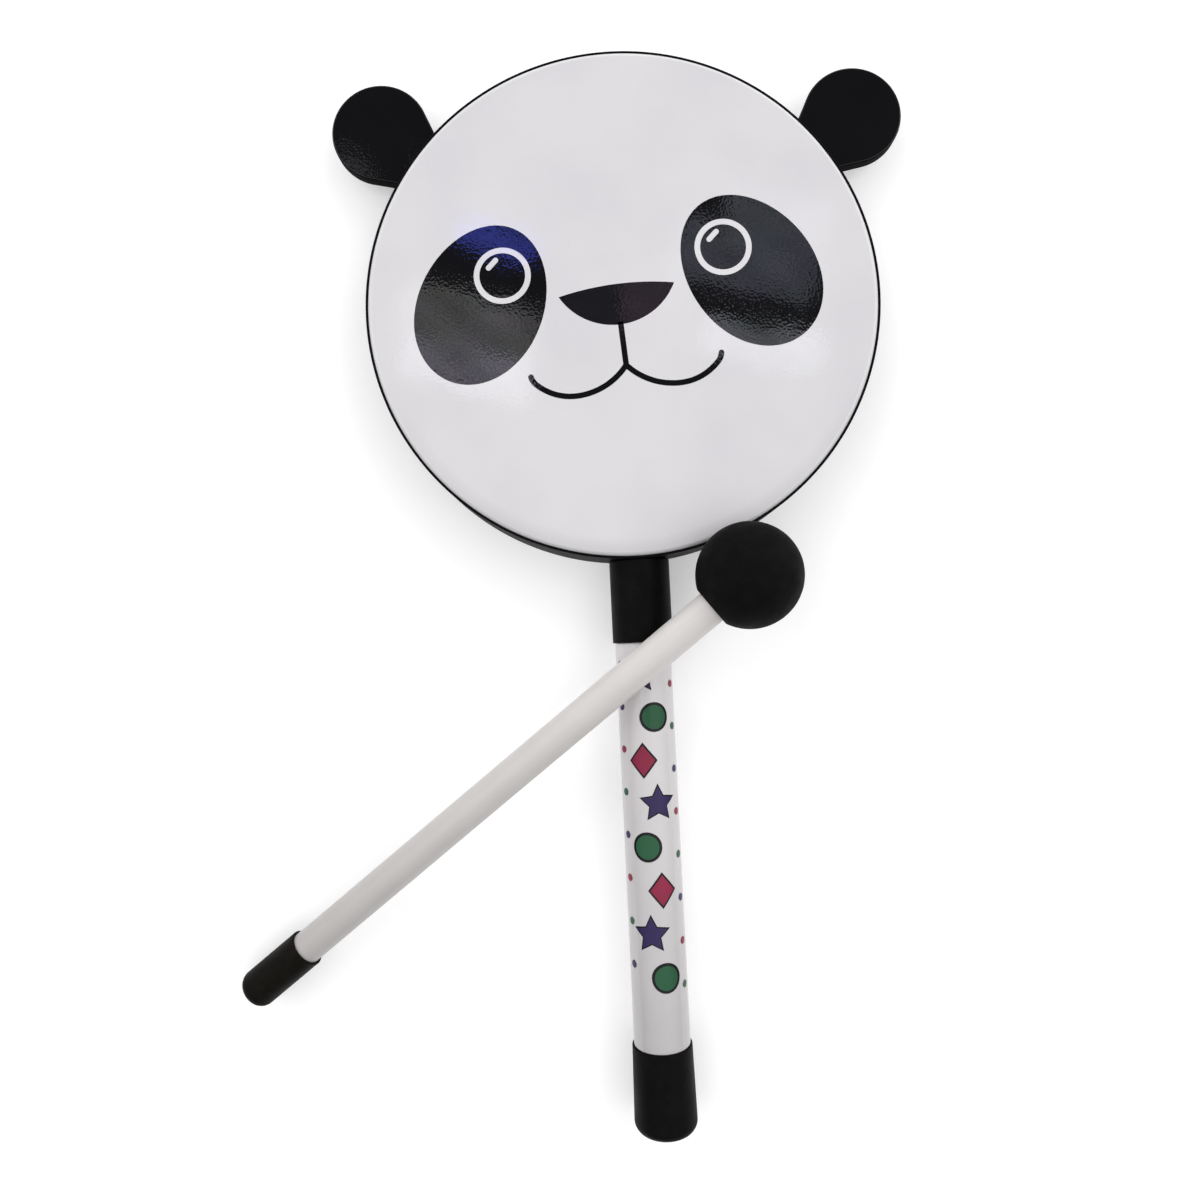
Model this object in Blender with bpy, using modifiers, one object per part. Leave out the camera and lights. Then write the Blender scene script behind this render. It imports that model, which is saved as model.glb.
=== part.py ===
"""A child's lollipop drum: a round one-headed drum with two ears on a straight handle, and its mallet.

The drum lies on its open back with the head facing up, and the loose mallet lies across the handle.
Metres, +Z up, +X to the right of the face, handle towards -Y. The origin is on the table, under the middle
of the whole layout.
"""

import math

import bmesh
import bpy
from mathutils import Matrix, Vector

# Fits: touching pieces keep a thin air gap, and holes clear the screws that pass through them
SEAT_GAP = 0.0003
SCREW_CLEARANCE = 0.0003
TABLE_GAP = 0.0004

# Shell: a bent wooden hoop, open at the back, rounded outside at the front where the film bears on it
SHELL_RADIUS = 0.0986
SHELL_WALL = 0.0050
SHELL_DEPTH = 0.0254
BEARING_ROUND = 0.0012
BEARING_FALL = 0.0012
BACK_CHAMFER = 0.0005

# Head: a thin film drawn over the bearing edge, with a short skirt glued down the side of the shell
FILM_THICKNESS = 0.0003
FILM_SKIRT = 0.0025

# Rim band: a strip round the shell that covers the film's skirt
BAND_THICKNESS = 0.0006
BAND_TOP_SETBACK = 0.0010
BAND_BACK_SETBACK = 0.0006

# Ears: round boards whose sides run straight in to a foot on the rim, screwed to the shell from inside
LEFT_EAR_ANGLE = math.radians(50.3)
RIGHT_EAR_ANGLE = math.radians(52.0)
EAR_RADIUS = 0.0196
EAR_STANDOFF = 0.0223
EAR_THICKNESS = 0.0050
EAR_FOOT_WIDTH = 0.0210
EAR_EDGE_ROUND = 0.0006
EAR_SCREW_SPACING = 0.0130
EAR_SCREW_LENGTH = 0.0150
EAR_SCREW_TIP = 0.0022
EAR_SCREW_RADIUS = 0.0011
EAR_SCREW_HEAD_RADIUS = 0.0022
EAR_SCREW_HEAD_HEIGHT = 0.0014

# Handle: a plastic tube in a printed film sleeve, with a rubber collar at the rim and a rubber end cap.
# It is fixed a little to the right of the head's middle
HANDLE_LENGTH = 0.2205
HANDLE_ASIDE = 0.0020
TUBE_RADIUS = 0.0105
TUBE_WALL = 0.0016
SLEEVE_THICKNESS = 0.0002
COLLAR_LENGTH = 0.0321
COLLAR_WALL = 0.00105
COLLAR_FLOOR = 0.0020
COLLAR_ROUND = 0.0013
END_CAP_LENGTH = 0.0329
END_CAP_WALL = 0.0009
END_CAP_FLARE = 0.00055
END_CAP_FLOOR = 0.0040
END_CAP_ROUND = 0.0042
LIP_ROUND = 0.0004

# Handle fixing: a wooden plug in the tube takes a screw that comes through the shell, over a washer
PLUG_LENGTH = 0.0350
HANDLE_SCREW_LENGTH = 0.0320
HANDLE_SCREW_TIP = 0.0040
HANDLE_SCREW_RADIUS = 0.0020
HANDLE_SCREW_HEAD_RADIUS = 0.0040
HANDLE_SCREW_HEAD_HEIGHT = 0.0026
WASHER_RADIUS = 0.0065
WASHER_THICKNESS = 0.0010

# Mallet: a rubber ball on a plastic stick with a rubber cap on its tail
MALLET_LENGTH = 0.2753
BALL_RADIUS = 0.0200
BALL_FLAT_RADIUS = 0.0082
BALL_BORE_DEPTH = 0.0220
STICK_RADIUS = 0.0065
STICK_WALL = 0.0015
TAIL_CAP_LENGTH = 0.0297
TAIL_CAP_WALL = 0.0008
TAIL_CAP_FLOOR = 0.0030
TAIL_CAP_ROUND = 0.0040

# How the mallet lies: its heading from tail to ball, how far back from the ball's centre the handle passes
# under the stick, and the room between ball and rim
MALLET_HEADING = math.radians(37.65)
BALL_TO_HANDLE = 0.0504
BALL_RIM_GAP = 0.0004

# Facets round a full turn, in a quarter turn of a rounded edge, and in the finest rounded edges
HOOP_STEPS = 96
ROD_STEPS = 36
SCREW_STEPS = 16
EDGE_STEPS = 4
FINE_EDGE_STEPS = 2
BALL_STEPS = 22
EAR_STEPS = 44

# Where the drum's surfaces lie, worked out from the sizes above
SHELL_INSIDE = SHELL_RADIUS - SHELL_WALL
FILM_RADIUS = SHELL_RADIUS + SEAT_GAP + FILM_THICKNESS
HEAD_FACE = SHELL_DEPTH + SEAT_GAP + FILM_THICKNESS
SKIRT_END = SHELL_DEPTH - BEARING_ROUND - FILM_SKIRT
BAND_RADIUS = FILM_RADIUS + SEAT_GAP + BAND_THICKNESS
BAND_TOP = HEAD_FACE - BAND_TOP_SETBACK
RIM_SEAT = BAND_RADIUS + SEAT_GAP

# Where the handle's surfaces lie: radii about its axis, and distances from the drum's centre along it
SLEEVE_RADIUS = TUBE_RADIUS + SEAT_GAP + SLEEVE_THICKNESS
RUBBER_BORE = TUBE_RADIUS + SEAT_GAP
COLLAR_RADIUS = RUBBER_BORE + COLLAR_WALL
END_CAP_MOUTH_RADIUS = RUBBER_BORE + END_CAP_WALL
END_CAP_RADIUS = END_CAP_MOUTH_RADIUS + END_CAP_FLARE
HANDLE_HEIGHT = END_CAP_RADIUS + TABLE_GAP
COLLAR_MOUTH = RIM_SEAT + COLLAR_LENGTH
TUBE_START = RIM_SEAT + COLLAR_FLOOR + SEAT_GAP
HANDLE_END = RIM_SEAT + HANDLE_LENGTH
CAP_MOUTH = HANDLE_END - END_CAP_LENGTH
TUBE_END = HANDLE_END - END_CAP_FLOOR - SEAT_GAP
WASHER_SEAT = math.sqrt(SHELL_INSIDE**2 - (WASHER_RADIUS + HANDLE_ASIDE) ** 2) - SEAT_GAP
HANDLE_SCREW_SEAT = WASHER_SEAT - WASHER_THICKNESS - SEAT_GAP

# Where the mallet's surfaces lie: distances from the tail along its axis
TAIL_CAP_RADIUS = STICK_RADIUS + SEAT_GAP + TAIL_CAP_WALL
BALL_CENTRE = MALLET_LENGTH - BALL_RADIUS
BALL_FLAT = BALL_CENTRE - math.sqrt(BALL_RADIUS**2 - BALL_FLAT_RADIUS**2)
BALL_BORE_END = BALL_FLAT + BALL_BORE_DEPTH
MALLET_CROSSING = BALL_CENTRE - BALL_TO_HANDLE

HANDLE_DIRECTION = math.radians(-90.0)
EAR_DIRECTIONS = {
    "left": math.radians(90.0) + LEFT_EAR_ANGLE,
    "right": math.radians(90.0) - RIGHT_EAR_ANGLE,
}
SMOOTH_ANGLE = math.radians(35.0)
CORNER_ANGLE = math.radians(60.0)
MERGE = 0.00001
MARKER_SIZE = 0.02
SETTLING_ROUNDS = 20

for old in list(bpy.data.objects):
    bpy.data.objects.remove(old)

parts = bpy.data.collections.new("lollipop_drum")
cutters = bpy.data.collections.new("cutters")
bpy.context.scene.collection.children.link(parts)
bpy.context.scene.collection.children.link(cutters)


def finish(name, colour, roughness, metallic=0.0):
    """A plain surface finish."""
    material = bpy.data.materials.new(name)
    material.use_nodes = True
    shader = material.node_tree.nodes["Principled BSDF"]
    shader.inputs["Base Color"].default_value = (*colour, 1.0)
    shader.inputs["Roughness"].default_value = roughness
    shader.inputs["Metallic"].default_value = metallic
    return material


def empty(name, parent=None):
    """A point that pieces hang from."""
    point = bpy.data.objects.new(name, None)
    point.empty_display_size = MARKER_SIZE
    point.parent = parent
    parts.objects.link(point)
    return point


def arc(centre, radius, start, end, steps):
    """Points of a circular arc in a profile's plane, from one angle in degrees to another."""
    angles = [math.radians(start + (end - start) * i / steps) for i in range(steps + 1)]
    return [(centre[0] + radius * math.cos(a), centre[1] + radius * math.sin(a)) for a in angles]


def baked(obj):
    """The object's evaluated shape as a mesh of its own, welded, smooth, with its sharp edges marked."""
    bpy.context.view_layer.update()
    graph = bpy.context.evaluated_depsgraph_get()
    mesh = bpy.data.meshes.new_from_object(obj.evaluated_get(graph))
    work = bmesh.new()
    work.from_mesh(mesh)
    bmesh.ops.remove_doubles(work, verts=work.verts, dist=MERGE)
    work.to_mesh(mesh)
    work.free()
    mesh.shade_smooth()
    mesh.set_sharp_from_angle(angle=SMOOTH_ANGLE)
    return mesh


def made(name, blank, material, parent):
    """The finished piece: the blank's evaluated shape in one material, hung from its parent."""
    mesh = baked(blank)
    mesh.name = name
    mesh.materials.clear()
    mesh.materials.append(material)
    piece = bpy.data.objects.new(name, mesh)
    parts.objects.link(piece)
    piece.parent = parent
    bpy.data.objects.remove(blank)
    return piece


def turned(name, profile, steps, material, parent, closed=False):
    """A round piece about its own Z axis. The profile is (radius, z) points, down the outer side."""
    edges = [(i, i + 1) for i in range(len(profile) - 1)]
    if closed:
        edges.append((len(profile) - 1, 0))
    mesh = bpy.data.meshes.new(name)
    mesh.from_pydata([(radius, 0.0, z) for radius, z in profile], edges, [])
    blank = bpy.data.objects.new(name + "_profile", mesh)
    cutters.objects.link(blank)
    screw = blank.modifiers.new("Turn", "SCREW")
    screw.steps = steps
    screw.render_steps = steps
    screw.use_merge_vertices = True
    screw.merge_threshold = MERGE
    return made(name, blank, material, parent)


def cylinder_cutter(name, radius, start, end, steps, parent):
    """A round cutter about its own Z axis."""
    mesh = bpy.data.meshes.new(name)
    work = bmesh.new()
    bmesh.ops.create_cone(
        work,
        cap_ends=True,
        segments=steps,
        radius1=radius,
        radius2=radius,
        depth=end - start,
        matrix=Matrix.Translation((0.0, 0.0, (start + end) / 2)),
    )
    work.to_mesh(mesh)
    work.free()
    cutter = bpy.data.objects.new(name, mesh)
    cutter.parent = parent
    cutter.hide_render = True
    cutter.display_type = "WIRE"
    cutters.objects.link(cutter)
    return cutter


def cut(piece, cutter):
    """Takes the cutter's shape out of a piece."""
    boolean = piece.modifiers.new("Cut " + cutter.name, "BOOLEAN")
    boolean.operation = "DIFFERENCE"
    boolean.solver = "EXACT"
    boolean.object = cutter


def point_outwards(obj, direction, aside):
    """Lays an object's Z axis beside a radius of the drum, at the handle's height."""
    obj.location = (-math.sin(direction) * aside, math.cos(direction) * aside, HANDLE_HEIGHT)
    obj.rotation_euler = (0.0, math.radians(90.0), direction)


def shell_hoop(root, material):
    """The wooden hoop: rounded bearing edge outside, falling away inside, chamfered at the back."""
    bearing_centre = (SHELL_RADIUS - BEARING_ROUND, SHELL_DEPTH - BEARING_ROUND)
    profile = arc(bearing_centre, BEARING_ROUND, 90.0, 0.0, EDGE_STEPS)
    profile += [
        (SHELL_RADIUS, BACK_CHAMFER),
        (SHELL_RADIUS - BACK_CHAMFER, 0.0),
        (SHELL_INSIDE + BACK_CHAMFER, 0.0),
        (SHELL_INSIDE, BACK_CHAMFER),
        (SHELL_INSIDE, SHELL_DEPTH - BEARING_FALL),
    ]
    return turned("shell_hoop", profile, HOOP_STEPS, material, root, closed=True)


def drum_head(root, material):
    """The film: flat across the front, rolled over the bearing edge, ending in the skirt."""
    roll_centre = (SHELL_RADIUS - BEARING_ROUND, SHELL_DEPTH - BEARING_ROUND)
    roll_inside = BEARING_ROUND + SEAT_GAP
    roll_outside = roll_inside + FILM_THICKNESS
    profile = [(0.0, HEAD_FACE)]
    profile += arc(roll_centre, roll_outside, 90.0, 0.0, EDGE_STEPS)
    profile += [(FILM_RADIUS, SKIRT_END), (FILM_RADIUS - FILM_THICKNESS, SKIRT_END)]
    profile += arc(roll_centre, roll_inside, 0.0, 90.0, EDGE_STEPS)
    profile += [(0.0, HEAD_FACE - FILM_THICKNESS)]
    return turned("drum_head", profile, HOOP_STEPS, material, root)


def rim_band(root, material):
    """The black strip: thin over the film's skirt, and filling out to the bare shell below it."""
    over_film = FILM_RADIUS + SEAT_GAP
    over_shell = SHELL_RADIUS + SEAT_GAP
    step = SKIRT_END - SEAT_GAP
    profile = [
        (BAND_RADIUS, BAND_TOP),
        (BAND_RADIUS, BAND_BACK_SETBACK),
        (over_shell, BAND_BACK_SETBACK),
        (over_shell, step),
        (over_film, step),
        (over_film, BAND_TOP),
    ]
    return turned("rim_band", profile, HOOP_STEPS, material, root, closed=True)


def ear_outline():
    """The ear seen from the front: +Y points away from the drum.

    The sides touch the round and run straight past the foot's corners, into the rim that trims the foot.
    """
    centre = (0.0, BAND_RADIUS + EAR_STANDOFF)
    corner_x = EAR_FOOT_WIDTH / 2
    corner_y = math.sqrt(RIM_SEAT**2 - corner_x**2)
    climb = centre[1] - corner_y
    side_lean = math.atan2(climb, -corner_x) - math.asin(EAR_RADIUS / math.hypot(corner_x, climb))
    foot_x = corner_x - (corner_y - SHELL_RADIUS) / math.tan(side_lean)
    round_start = math.degrees(side_lean) - 90.0
    outside = arc(centre, EAR_RADIUS, round_start, 180.0 - round_start, EAR_STEPS)
    return [(foot_x, SHELL_RADIUS)] + outside + [(-foot_x, SHELL_RADIUS)]


def ear(side, direction, root, material):
    """One ear board: flat faces, softly rounded edges, its foot cut to the curve of the rim."""
    outline = ear_outline()
    curve = bpy.data.curves.new(side + "_ear_outline", "CURVE")
    curve.dimensions = "2D"
    curve.fill_mode = "BOTH"
    curve.extrude = EAR_THICKNESS / 2
    spline = curve.splines.new("POLY")
    spline.points.add(len(outline) - 1)
    for point, (x, y) in zip(spline.points, outline):
        point.co = (x, y, 0.0, 1.0)
    spline.use_cyclic_u = True
    blank = bpy.data.objects.new(side + "_ear_outline", curve)
    cutters.objects.link(blank)
    piece = made(side + "_ear", blank, material, root)
    piece.location = (0.0, 0.0, HANDLE_HEIGHT)
    piece.rotation_euler = (0.0, 0.0, direction - math.radians(90.0))
    soften = piece.modifiers.new("Soften edges", "BEVEL")
    soften.width = EAR_EDGE_ROUND
    soften.segments = FINE_EDGE_STEPS
    soften.limit_method = "ANGLE"
    soften.angle_limit = CORNER_ANGLE
    return piece


def screw_profile(seat, length, tip_length, radius, head_radius, head_height):
    """A round-headed screw that points along +Z, its head's underside at the seat."""
    tip = seat + length
    profile = [(0.0, tip), (radius, tip - tip_length), (radius, seat), (head_radius, seat)]
    dome = head_height / 2
    for i in range(EDGE_STEPS + 1):
        angle = math.radians(90.0) * i / EDGE_STEPS
        profile.append((head_radius * math.cos(angle), seat - dome - dome * math.sin(angle)))
    profile[-1] = (0.0, seat - head_height)
    return profile


def ear_screw_seat(aside):
    """How far from the drum's centre a screw beside the ear's middle line bears on the shell's inner wall."""
    far_edge = abs(aside) + EAR_SCREW_HEAD_RADIUS
    return math.sqrt(SHELL_INSIDE**2 - far_edge**2) - SEAT_GAP


def collar_profile():
    """A rubber cup with its floor against the rim and its mouth down the handle."""
    saddle = math.sqrt(RIM_SEAT**2 - (COLLAR_RADIUS + HANDLE_ASIDE) ** 2)
    lip_centre = (COLLAR_RADIUS - LIP_ROUND, COLLAR_MOUTH - LIP_ROUND)
    lip = arc(lip_centre, LIP_ROUND, 90.0, 0.0, FINE_EDGE_STEPS)
    corner = arc((COLLAR_RADIUS - COLLAR_ROUND, saddle + COLLAR_ROUND), COLLAR_ROUND, 0.0, -90.0, EDGE_STEPS)
    floor = RIM_SEAT + COLLAR_FLOOR
    return [(0.0, floor), (RUBBER_BORE, floor), (RUBBER_BORE, COLLAR_MOUTH)] + lip + corner + [(0.0, saddle)]


def cap_profile(end, mouth, floor, bore, mouth_radius, end_radius, edge_round):
    """A rubber cup whose closed end is the far one along +Z, rounded there and at the lip of its mouth."""
    corner = arc((end_radius - edge_round, end - edge_round), edge_round, 90.0, 0.0, EDGE_STEPS)
    lip = arc((mouth_radius - LIP_ROUND, mouth + LIP_ROUND), LIP_ROUND, 0.0, -90.0, FINE_EDGE_STEPS)
    inside = [(bore, mouth), (bore, end - floor), (0.0, end - floor)]
    return [(0.0, end)] + corner + lip + inside


def tube_profile(radius, wall, start, end):
    """A plain tube along +Z."""
    return [(radius, end), (radius, start), (radius - wall, start), (radius - wall, end)]


def ball_profile():
    """The mallet's ball, flat where the stick goes in, with the stick's blind bore."""
    bore = STICK_RADIUS + SEAT_GAP
    flat_angle = -math.degrees(math.acos(BALL_FLAT_RADIUS / BALL_RADIUS))
    outside = arc((0.0, BALL_CENTRE), BALL_RADIUS, 90.0, flat_angle, BALL_STEPS)
    outside[0] = (0.0, MALLET_LENGTH)
    return outside + [(bore, BALL_FLAT), (bore, BALL_BORE_END), (0.0, BALL_BORE_END)]


def tail_cap_profile():
    """The tail's rubber cup, closed end at zero."""
    corner_centre = (TAIL_CAP_RADIUS - TAIL_CAP_ROUND, TAIL_CAP_ROUND)
    corner = arc(corner_centre, TAIL_CAP_ROUND, 0.0, -90.0, EDGE_STEPS)
    lip_centre = (TAIL_CAP_RADIUS - LIP_ROUND, TAIL_CAP_LENGTH - LIP_ROUND)
    lip = arc(lip_centre, LIP_ROUND, 90.0, 0.0, FINE_EDGE_STEPS)
    bore = STICK_RADIUS + SEAT_GAP
    inside = [(0.0, TAIL_CAP_FLOOR), (bore, TAIL_CAP_FLOOR), (bore, TAIL_CAP_LENGTH)]
    return inside + lip + corner + [(0.0, 0.0)]


def mallet_rest():
    """The lean of the stick, the height of its axis over the handle and how far down the handle it crosses.

    The tail cap lies on the table, the stick lies on the sleeve, and the ball stays clear of the rim.
    Each depends a little on the lean, so a few rounds settle it.
    """
    lean = 0.0
    for _ in range(SETTLING_ROUNDS):
        steepness = math.tan(lean) / math.cos(MALLET_HEADING)
        spacing = STICK_RADIUS + SEAT_GAP + SLEEVE_RADIUS
        crossing_height = HANDLE_HEIGHT + spacing * math.sqrt(1 + steepness**2)
        tail_height = TABLE_GAP + TAIL_CAP_ROUND + (TAIL_CAP_RADIUS - TAIL_CAP_ROUND) * math.cos(lean)
        lean = math.asin((crossing_height - tail_height) / (MALLET_CROSSING - TAIL_CAP_ROUND))
    ball_rise = crossing_height + BALL_TO_HANDLE * math.sin(lean) - BAND_TOP
    ball_out = math.sqrt(max((BALL_RADIUS + BALL_RIM_GAP) ** 2 - ball_rise**2, 0.0))
    ball_x = HANDLE_ASIDE + BALL_TO_HANDLE * math.cos(lean) * math.cos(MALLET_HEADING)
    ball_y = math.sqrt((BAND_RADIUS + ball_out) ** 2 - ball_x**2)
    crossing = ball_y + BALL_TO_HANDLE * math.cos(lean) * math.sin(MALLET_HEADING)
    return lean, crossing_height, crossing


def place_mallet(point):
    """Puts the mallet's own frame at the tip of its tail, with +Z along the stick to the ball."""
    lean, height, crossing = mallet_rest()
    along = Vector(
        (
            math.cos(lean) * math.cos(MALLET_HEADING),
            math.cos(lean) * math.sin(MALLET_HEADING),
            math.sin(lean),
        )
    )
    point.location = Vector((HANDLE_ASIDE, -crossing, height)) - along * MALLET_CROSSING
    point.rotation_euler = along.to_track_quat("Z", "Y").to_euler()


def centre_on_origin(root):
    """Moves the whole layout so that its box is centred over the origin."""
    bpy.context.view_layer.update()
    graph = bpy.context.evaluated_depsgraph_get()
    corners = []
    for obj in parts.objects:
        if obj.type == "MESH":
            shape = obj.evaluated_get(graph)
            corners += [shape.matrix_world @ vertex.co for vertex in shape.data.vertices]
    for axis in range(2):
        values = [corner[axis] for corner in corners]
        root.location[axis] -= (min(values) + max(values)) / 2


def build():
    """Makes every piece, drills and fits them together, and lays the layout over the origin."""
    wood = finish("bare wood", (0.62, 0.46, 0.29), 0.60)
    film = finish("white film", (0.88, 0.88, 0.89), 0.18)
    band_black = finish("black band", (0.010, 0.010, 0.011), 0.35)
    ear_black = finish("gloss black board", (0.008, 0.008, 0.009), 0.22)
    tube_white = finish("white tube", (0.80, 0.80, 0.79), 0.35)
    sleeve_film = finish("sleeve film", (0.90, 0.90, 0.91), 0.15)
    rubber = finish("black rubber", (0.012, 0.012, 0.012), 0.55)
    ball_rubber = finish("matt ball rubber", (0.008, 0.008, 0.008), 0.80)
    stick_white = finish("white stick", (0.78, 0.78, 0.78), 0.40)
    steel = finish("bright steel", (0.60, 0.60, 0.62), 0.30, metallic=1.0)

    root = empty("drum")
    hoop = shell_hoop(root, wood)
    drum_head(root, film)
    band = rim_band(root, band_black)
    rim = cylinder_cutter("rim_seat", RIM_SEAT, -SHELL_DEPTH, 2 * SHELL_DEPTH, 2 * HOOP_STEPS, root)

    hole = EAR_SCREW_RADIUS + SCREW_CLEARANCE
    for side, direction in EAR_DIRECTIONS.items():
        board = ear(side, direction, root, ear_black)
        cut(board, rim)
        for number, aside in enumerate((-EAR_SCREW_SPACING / 2, EAR_SCREW_SPACING / 2), start=1):
            seat = ear_screw_seat(aside)
            name = f"{side}_ear_screw_{number}"
            profile = screw_profile(
                seat,
                EAR_SCREW_LENGTH,
                EAR_SCREW_TIP,
                EAR_SCREW_RADIUS,
                EAR_SCREW_HEAD_RADIUS,
                EAR_SCREW_HEAD_HEIGHT,
            )
            screw = turned(name, profile, SCREW_STEPS, steel, root)
            hole_end = seat + EAR_SCREW_LENGTH + SEAT_GAP
            drill = cylinder_cutter(name + "_hole", hole, seat, hole_end, SCREW_STEPS, root)
            for item in (screw, drill):
                point_outwards(item, direction, aside)
            for item in (hoop, band, board):
                cut(item, drill)

    tube = tube_profile(TUBE_RADIUS, TUBE_WALL, TUBE_START, TUBE_END)
    sleeve = tube_profile(
        SLEEVE_RADIUS, SLEEVE_THICKNESS, COLLAR_MOUTH + SEAT_GAP, CAP_MOUTH - SEAT_GAP
    )
    plug_radius = TUBE_RADIUS - TUBE_WALL - SEAT_GAP
    plug = [(0.0, TUBE_START + PLUG_LENGTH), (plug_radius, TUBE_START + PLUG_LENGTH)]
    plug += [(plug_radius, TUBE_START), (0.0, TUBE_START)]
    end_cap = cap_profile(
        HANDLE_END,
        CAP_MOUTH,
        END_CAP_FLOOR,
        RUBBER_BORE,
        END_CAP_MOUTH_RADIUS,
        END_CAP_RADIUS,
        END_CAP_ROUND,
    )
    handle_screw = screw_profile(
        HANDLE_SCREW_SEAT,
        HANDLE_SCREW_LENGTH,
        HANDLE_SCREW_TIP,
        HANDLE_SCREW_RADIUS,
        HANDLE_SCREW_HEAD_RADIUS,
        HANDLE_SCREW_HEAD_HEIGHT,
    )
    screw_hole = HANDLE_SCREW_RADIUS + SCREW_CLEARANCE
    washer = tube_profile(
        WASHER_RADIUS, WASHER_RADIUS - screw_hole, WASHER_SEAT - WASHER_THICKNESS, WASHER_SEAT
    )
    handle = {
        "tube": turned("handle_tube", tube, ROD_STEPS, tube_white, root, closed=True),
        "sleeve": turned("handle_sleeve", sleeve, ROD_STEPS, sleeve_film, root, closed=True),
        "collar": turned("handle_collar", collar_profile(), ROD_STEPS, rubber, root),
        "end cap": turned("handle_end_cap", end_cap, ROD_STEPS, rubber, root),
        "plug": turned("handle_plug", plug, ROD_STEPS, wood, root),
        "screw": turned("handle_screw", handle_screw, SCREW_STEPS, steel, root),
        "washer": turned("handle_washer", washer, ROD_STEPS, steel, root, closed=True),
    }
    hole_end = HANDLE_SCREW_SEAT + HANDLE_SCREW_LENGTH + SEAT_GAP
    drill = cylinder_cutter("handle_screw_hole", screw_hole, HANDLE_SCREW_SEAT, hole_end, SCREW_STEPS, root)
    for item in (*handle.values(), drill):
        point_outwards(item, HANDLE_DIRECTION, HANDLE_ASIDE)
    cut(handle["collar"], rim)
    for item in (hoop, band, handle["collar"], handle["plug"]):
        cut(item, drill)

    mallet = empty("mallet", root)
    place_mallet(mallet)
    stick = tube_profile(STICK_RADIUS, STICK_WALL, TAIL_CAP_FLOOR + SEAT_GAP, BALL_BORE_END - SEAT_GAP)
    turned("mallet_stick", stick, ROD_STEPS, stick_white, mallet, closed=True)
    turned("mallet_ball", ball_profile(), ROD_STEPS, ball_rubber, mallet)
    turned("mallet_tail_cap", tail_cap_profile(), ROD_STEPS, rubber, mallet)
    centre_on_origin(root)


build()
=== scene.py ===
"""The looks of a child's hand drum: a printed film head on a bent wooden hoop, with two disc ears,
a tube handle between rubber cups, and a ball-headed mallet that lies across the handle."""
import math

import bpy
import numpy as np
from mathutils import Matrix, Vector


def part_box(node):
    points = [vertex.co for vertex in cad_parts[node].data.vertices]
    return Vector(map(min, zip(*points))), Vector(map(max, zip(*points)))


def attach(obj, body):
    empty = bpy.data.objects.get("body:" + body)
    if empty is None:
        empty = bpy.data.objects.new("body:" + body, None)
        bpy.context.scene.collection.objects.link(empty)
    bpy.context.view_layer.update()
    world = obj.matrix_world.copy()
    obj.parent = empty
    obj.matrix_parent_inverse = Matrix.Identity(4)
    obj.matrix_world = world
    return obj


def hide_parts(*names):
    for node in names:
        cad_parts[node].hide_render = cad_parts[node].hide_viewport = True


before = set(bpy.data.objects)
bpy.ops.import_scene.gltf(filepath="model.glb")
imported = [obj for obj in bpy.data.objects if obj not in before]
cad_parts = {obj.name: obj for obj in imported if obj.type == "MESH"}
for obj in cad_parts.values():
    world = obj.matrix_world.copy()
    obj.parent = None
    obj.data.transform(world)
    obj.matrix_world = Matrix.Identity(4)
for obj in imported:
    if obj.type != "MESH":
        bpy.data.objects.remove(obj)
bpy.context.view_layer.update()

# Shell hoop: a strip of poplar bent round and glued at a slanting scarf joint, sanded and left bare.
# Its front edge is rounded for the film to roll over and falls away inside, so the film bears on a line.
HOOP_WALL = 0.005
BEARING_ROUND = 0.0012
BEARING_STEPS = 8
BEARING_FALL = 0.0012
BACK_CHAMFER = 0.0005
HOOP_STEPS = 256
SEED_SIZE = 0.001
WELD = 0.000002
SMOOTH_UNDER = math.radians(40.0)
UP = Vector((0.0, 0.0, 1.0))
ACROSS = Vector((1.0, 0.0, 0.0))
PLAIN_SHINE = 0.5
NOISE_REACH = (0.3, 0.7)
WOOD_PALE = (0.62, 0.45, 0.27)
WOOD_DEEP = (0.42, 0.27, 0.14)
WOOD_TONES = (0.34, 0.62)
HOOP_FIBRES = (2.5, 420.0, 420.0)
HOOP_FIBRE_DEPTH = 0.00012
HOOP_ROUGH = (0.72, 0.55)
SCARF_ANGLE = math.radians(118.0)
SCARF_ANGLE_PER_METRE = 9.0
SCARF_HALF_ANGLE = 0.0016
SCARF_DARK = 0.35


def round_node(node):
    """A round node's lowest and highest corners, and its radius."""
    low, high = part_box(node)
    return low, high, (high.x - low.x) / 2


def at_angle(middle, radius, angle):
    """The point of a circle at an angle in degrees."""
    turn = math.radians(angle)
    return middle[0] + radius * math.cos(turn), middle[1] + radius * math.sin(turn)


def arc(middle, radius, start, end, steps):
    """Points of a circular arc from one angle in degrees to another."""
    return [at_angle(middle, radius, start + (end - start) * i / steps) for i in range(steps + 1)]


def far_corner(radius, along, rounding, steps):
    """The rounded outer corner at the far end of a spun outline, from its end face to its side."""
    return arc((radius - rounding, along - rounding), rounding, 90.0, 0.0, steps)


def drawn(name, points):
    """Starts a piece as a line: one point is put at the start and extruded from place to place."""
    bpy.ops.object.select_all(action="DESELECT")
    bpy.ops.mesh.primitive_plane_add(size=SEED_SIZE)
    piece = bpy.context.object
    piece.name = name
    piece.data.name = name
    bpy.ops.object.mode_set(mode="EDIT")
    bpy.ops.mesh.select_mode(type="VERT")
    bpy.ops.mesh.select_all(action="SELECT")
    bpy.ops.mesh.merge(type="CENTER")
    bpy.ops.transform.translate(value=points[0])
    for here, there in zip(points, points[1:]):
        bpy.ops.mesh.extrude_region_move(TRANSFORM_OT_translate={"value": there - here})
    bpy.ops.mesh.select_all(action="SELECT")
    return piece


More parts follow.
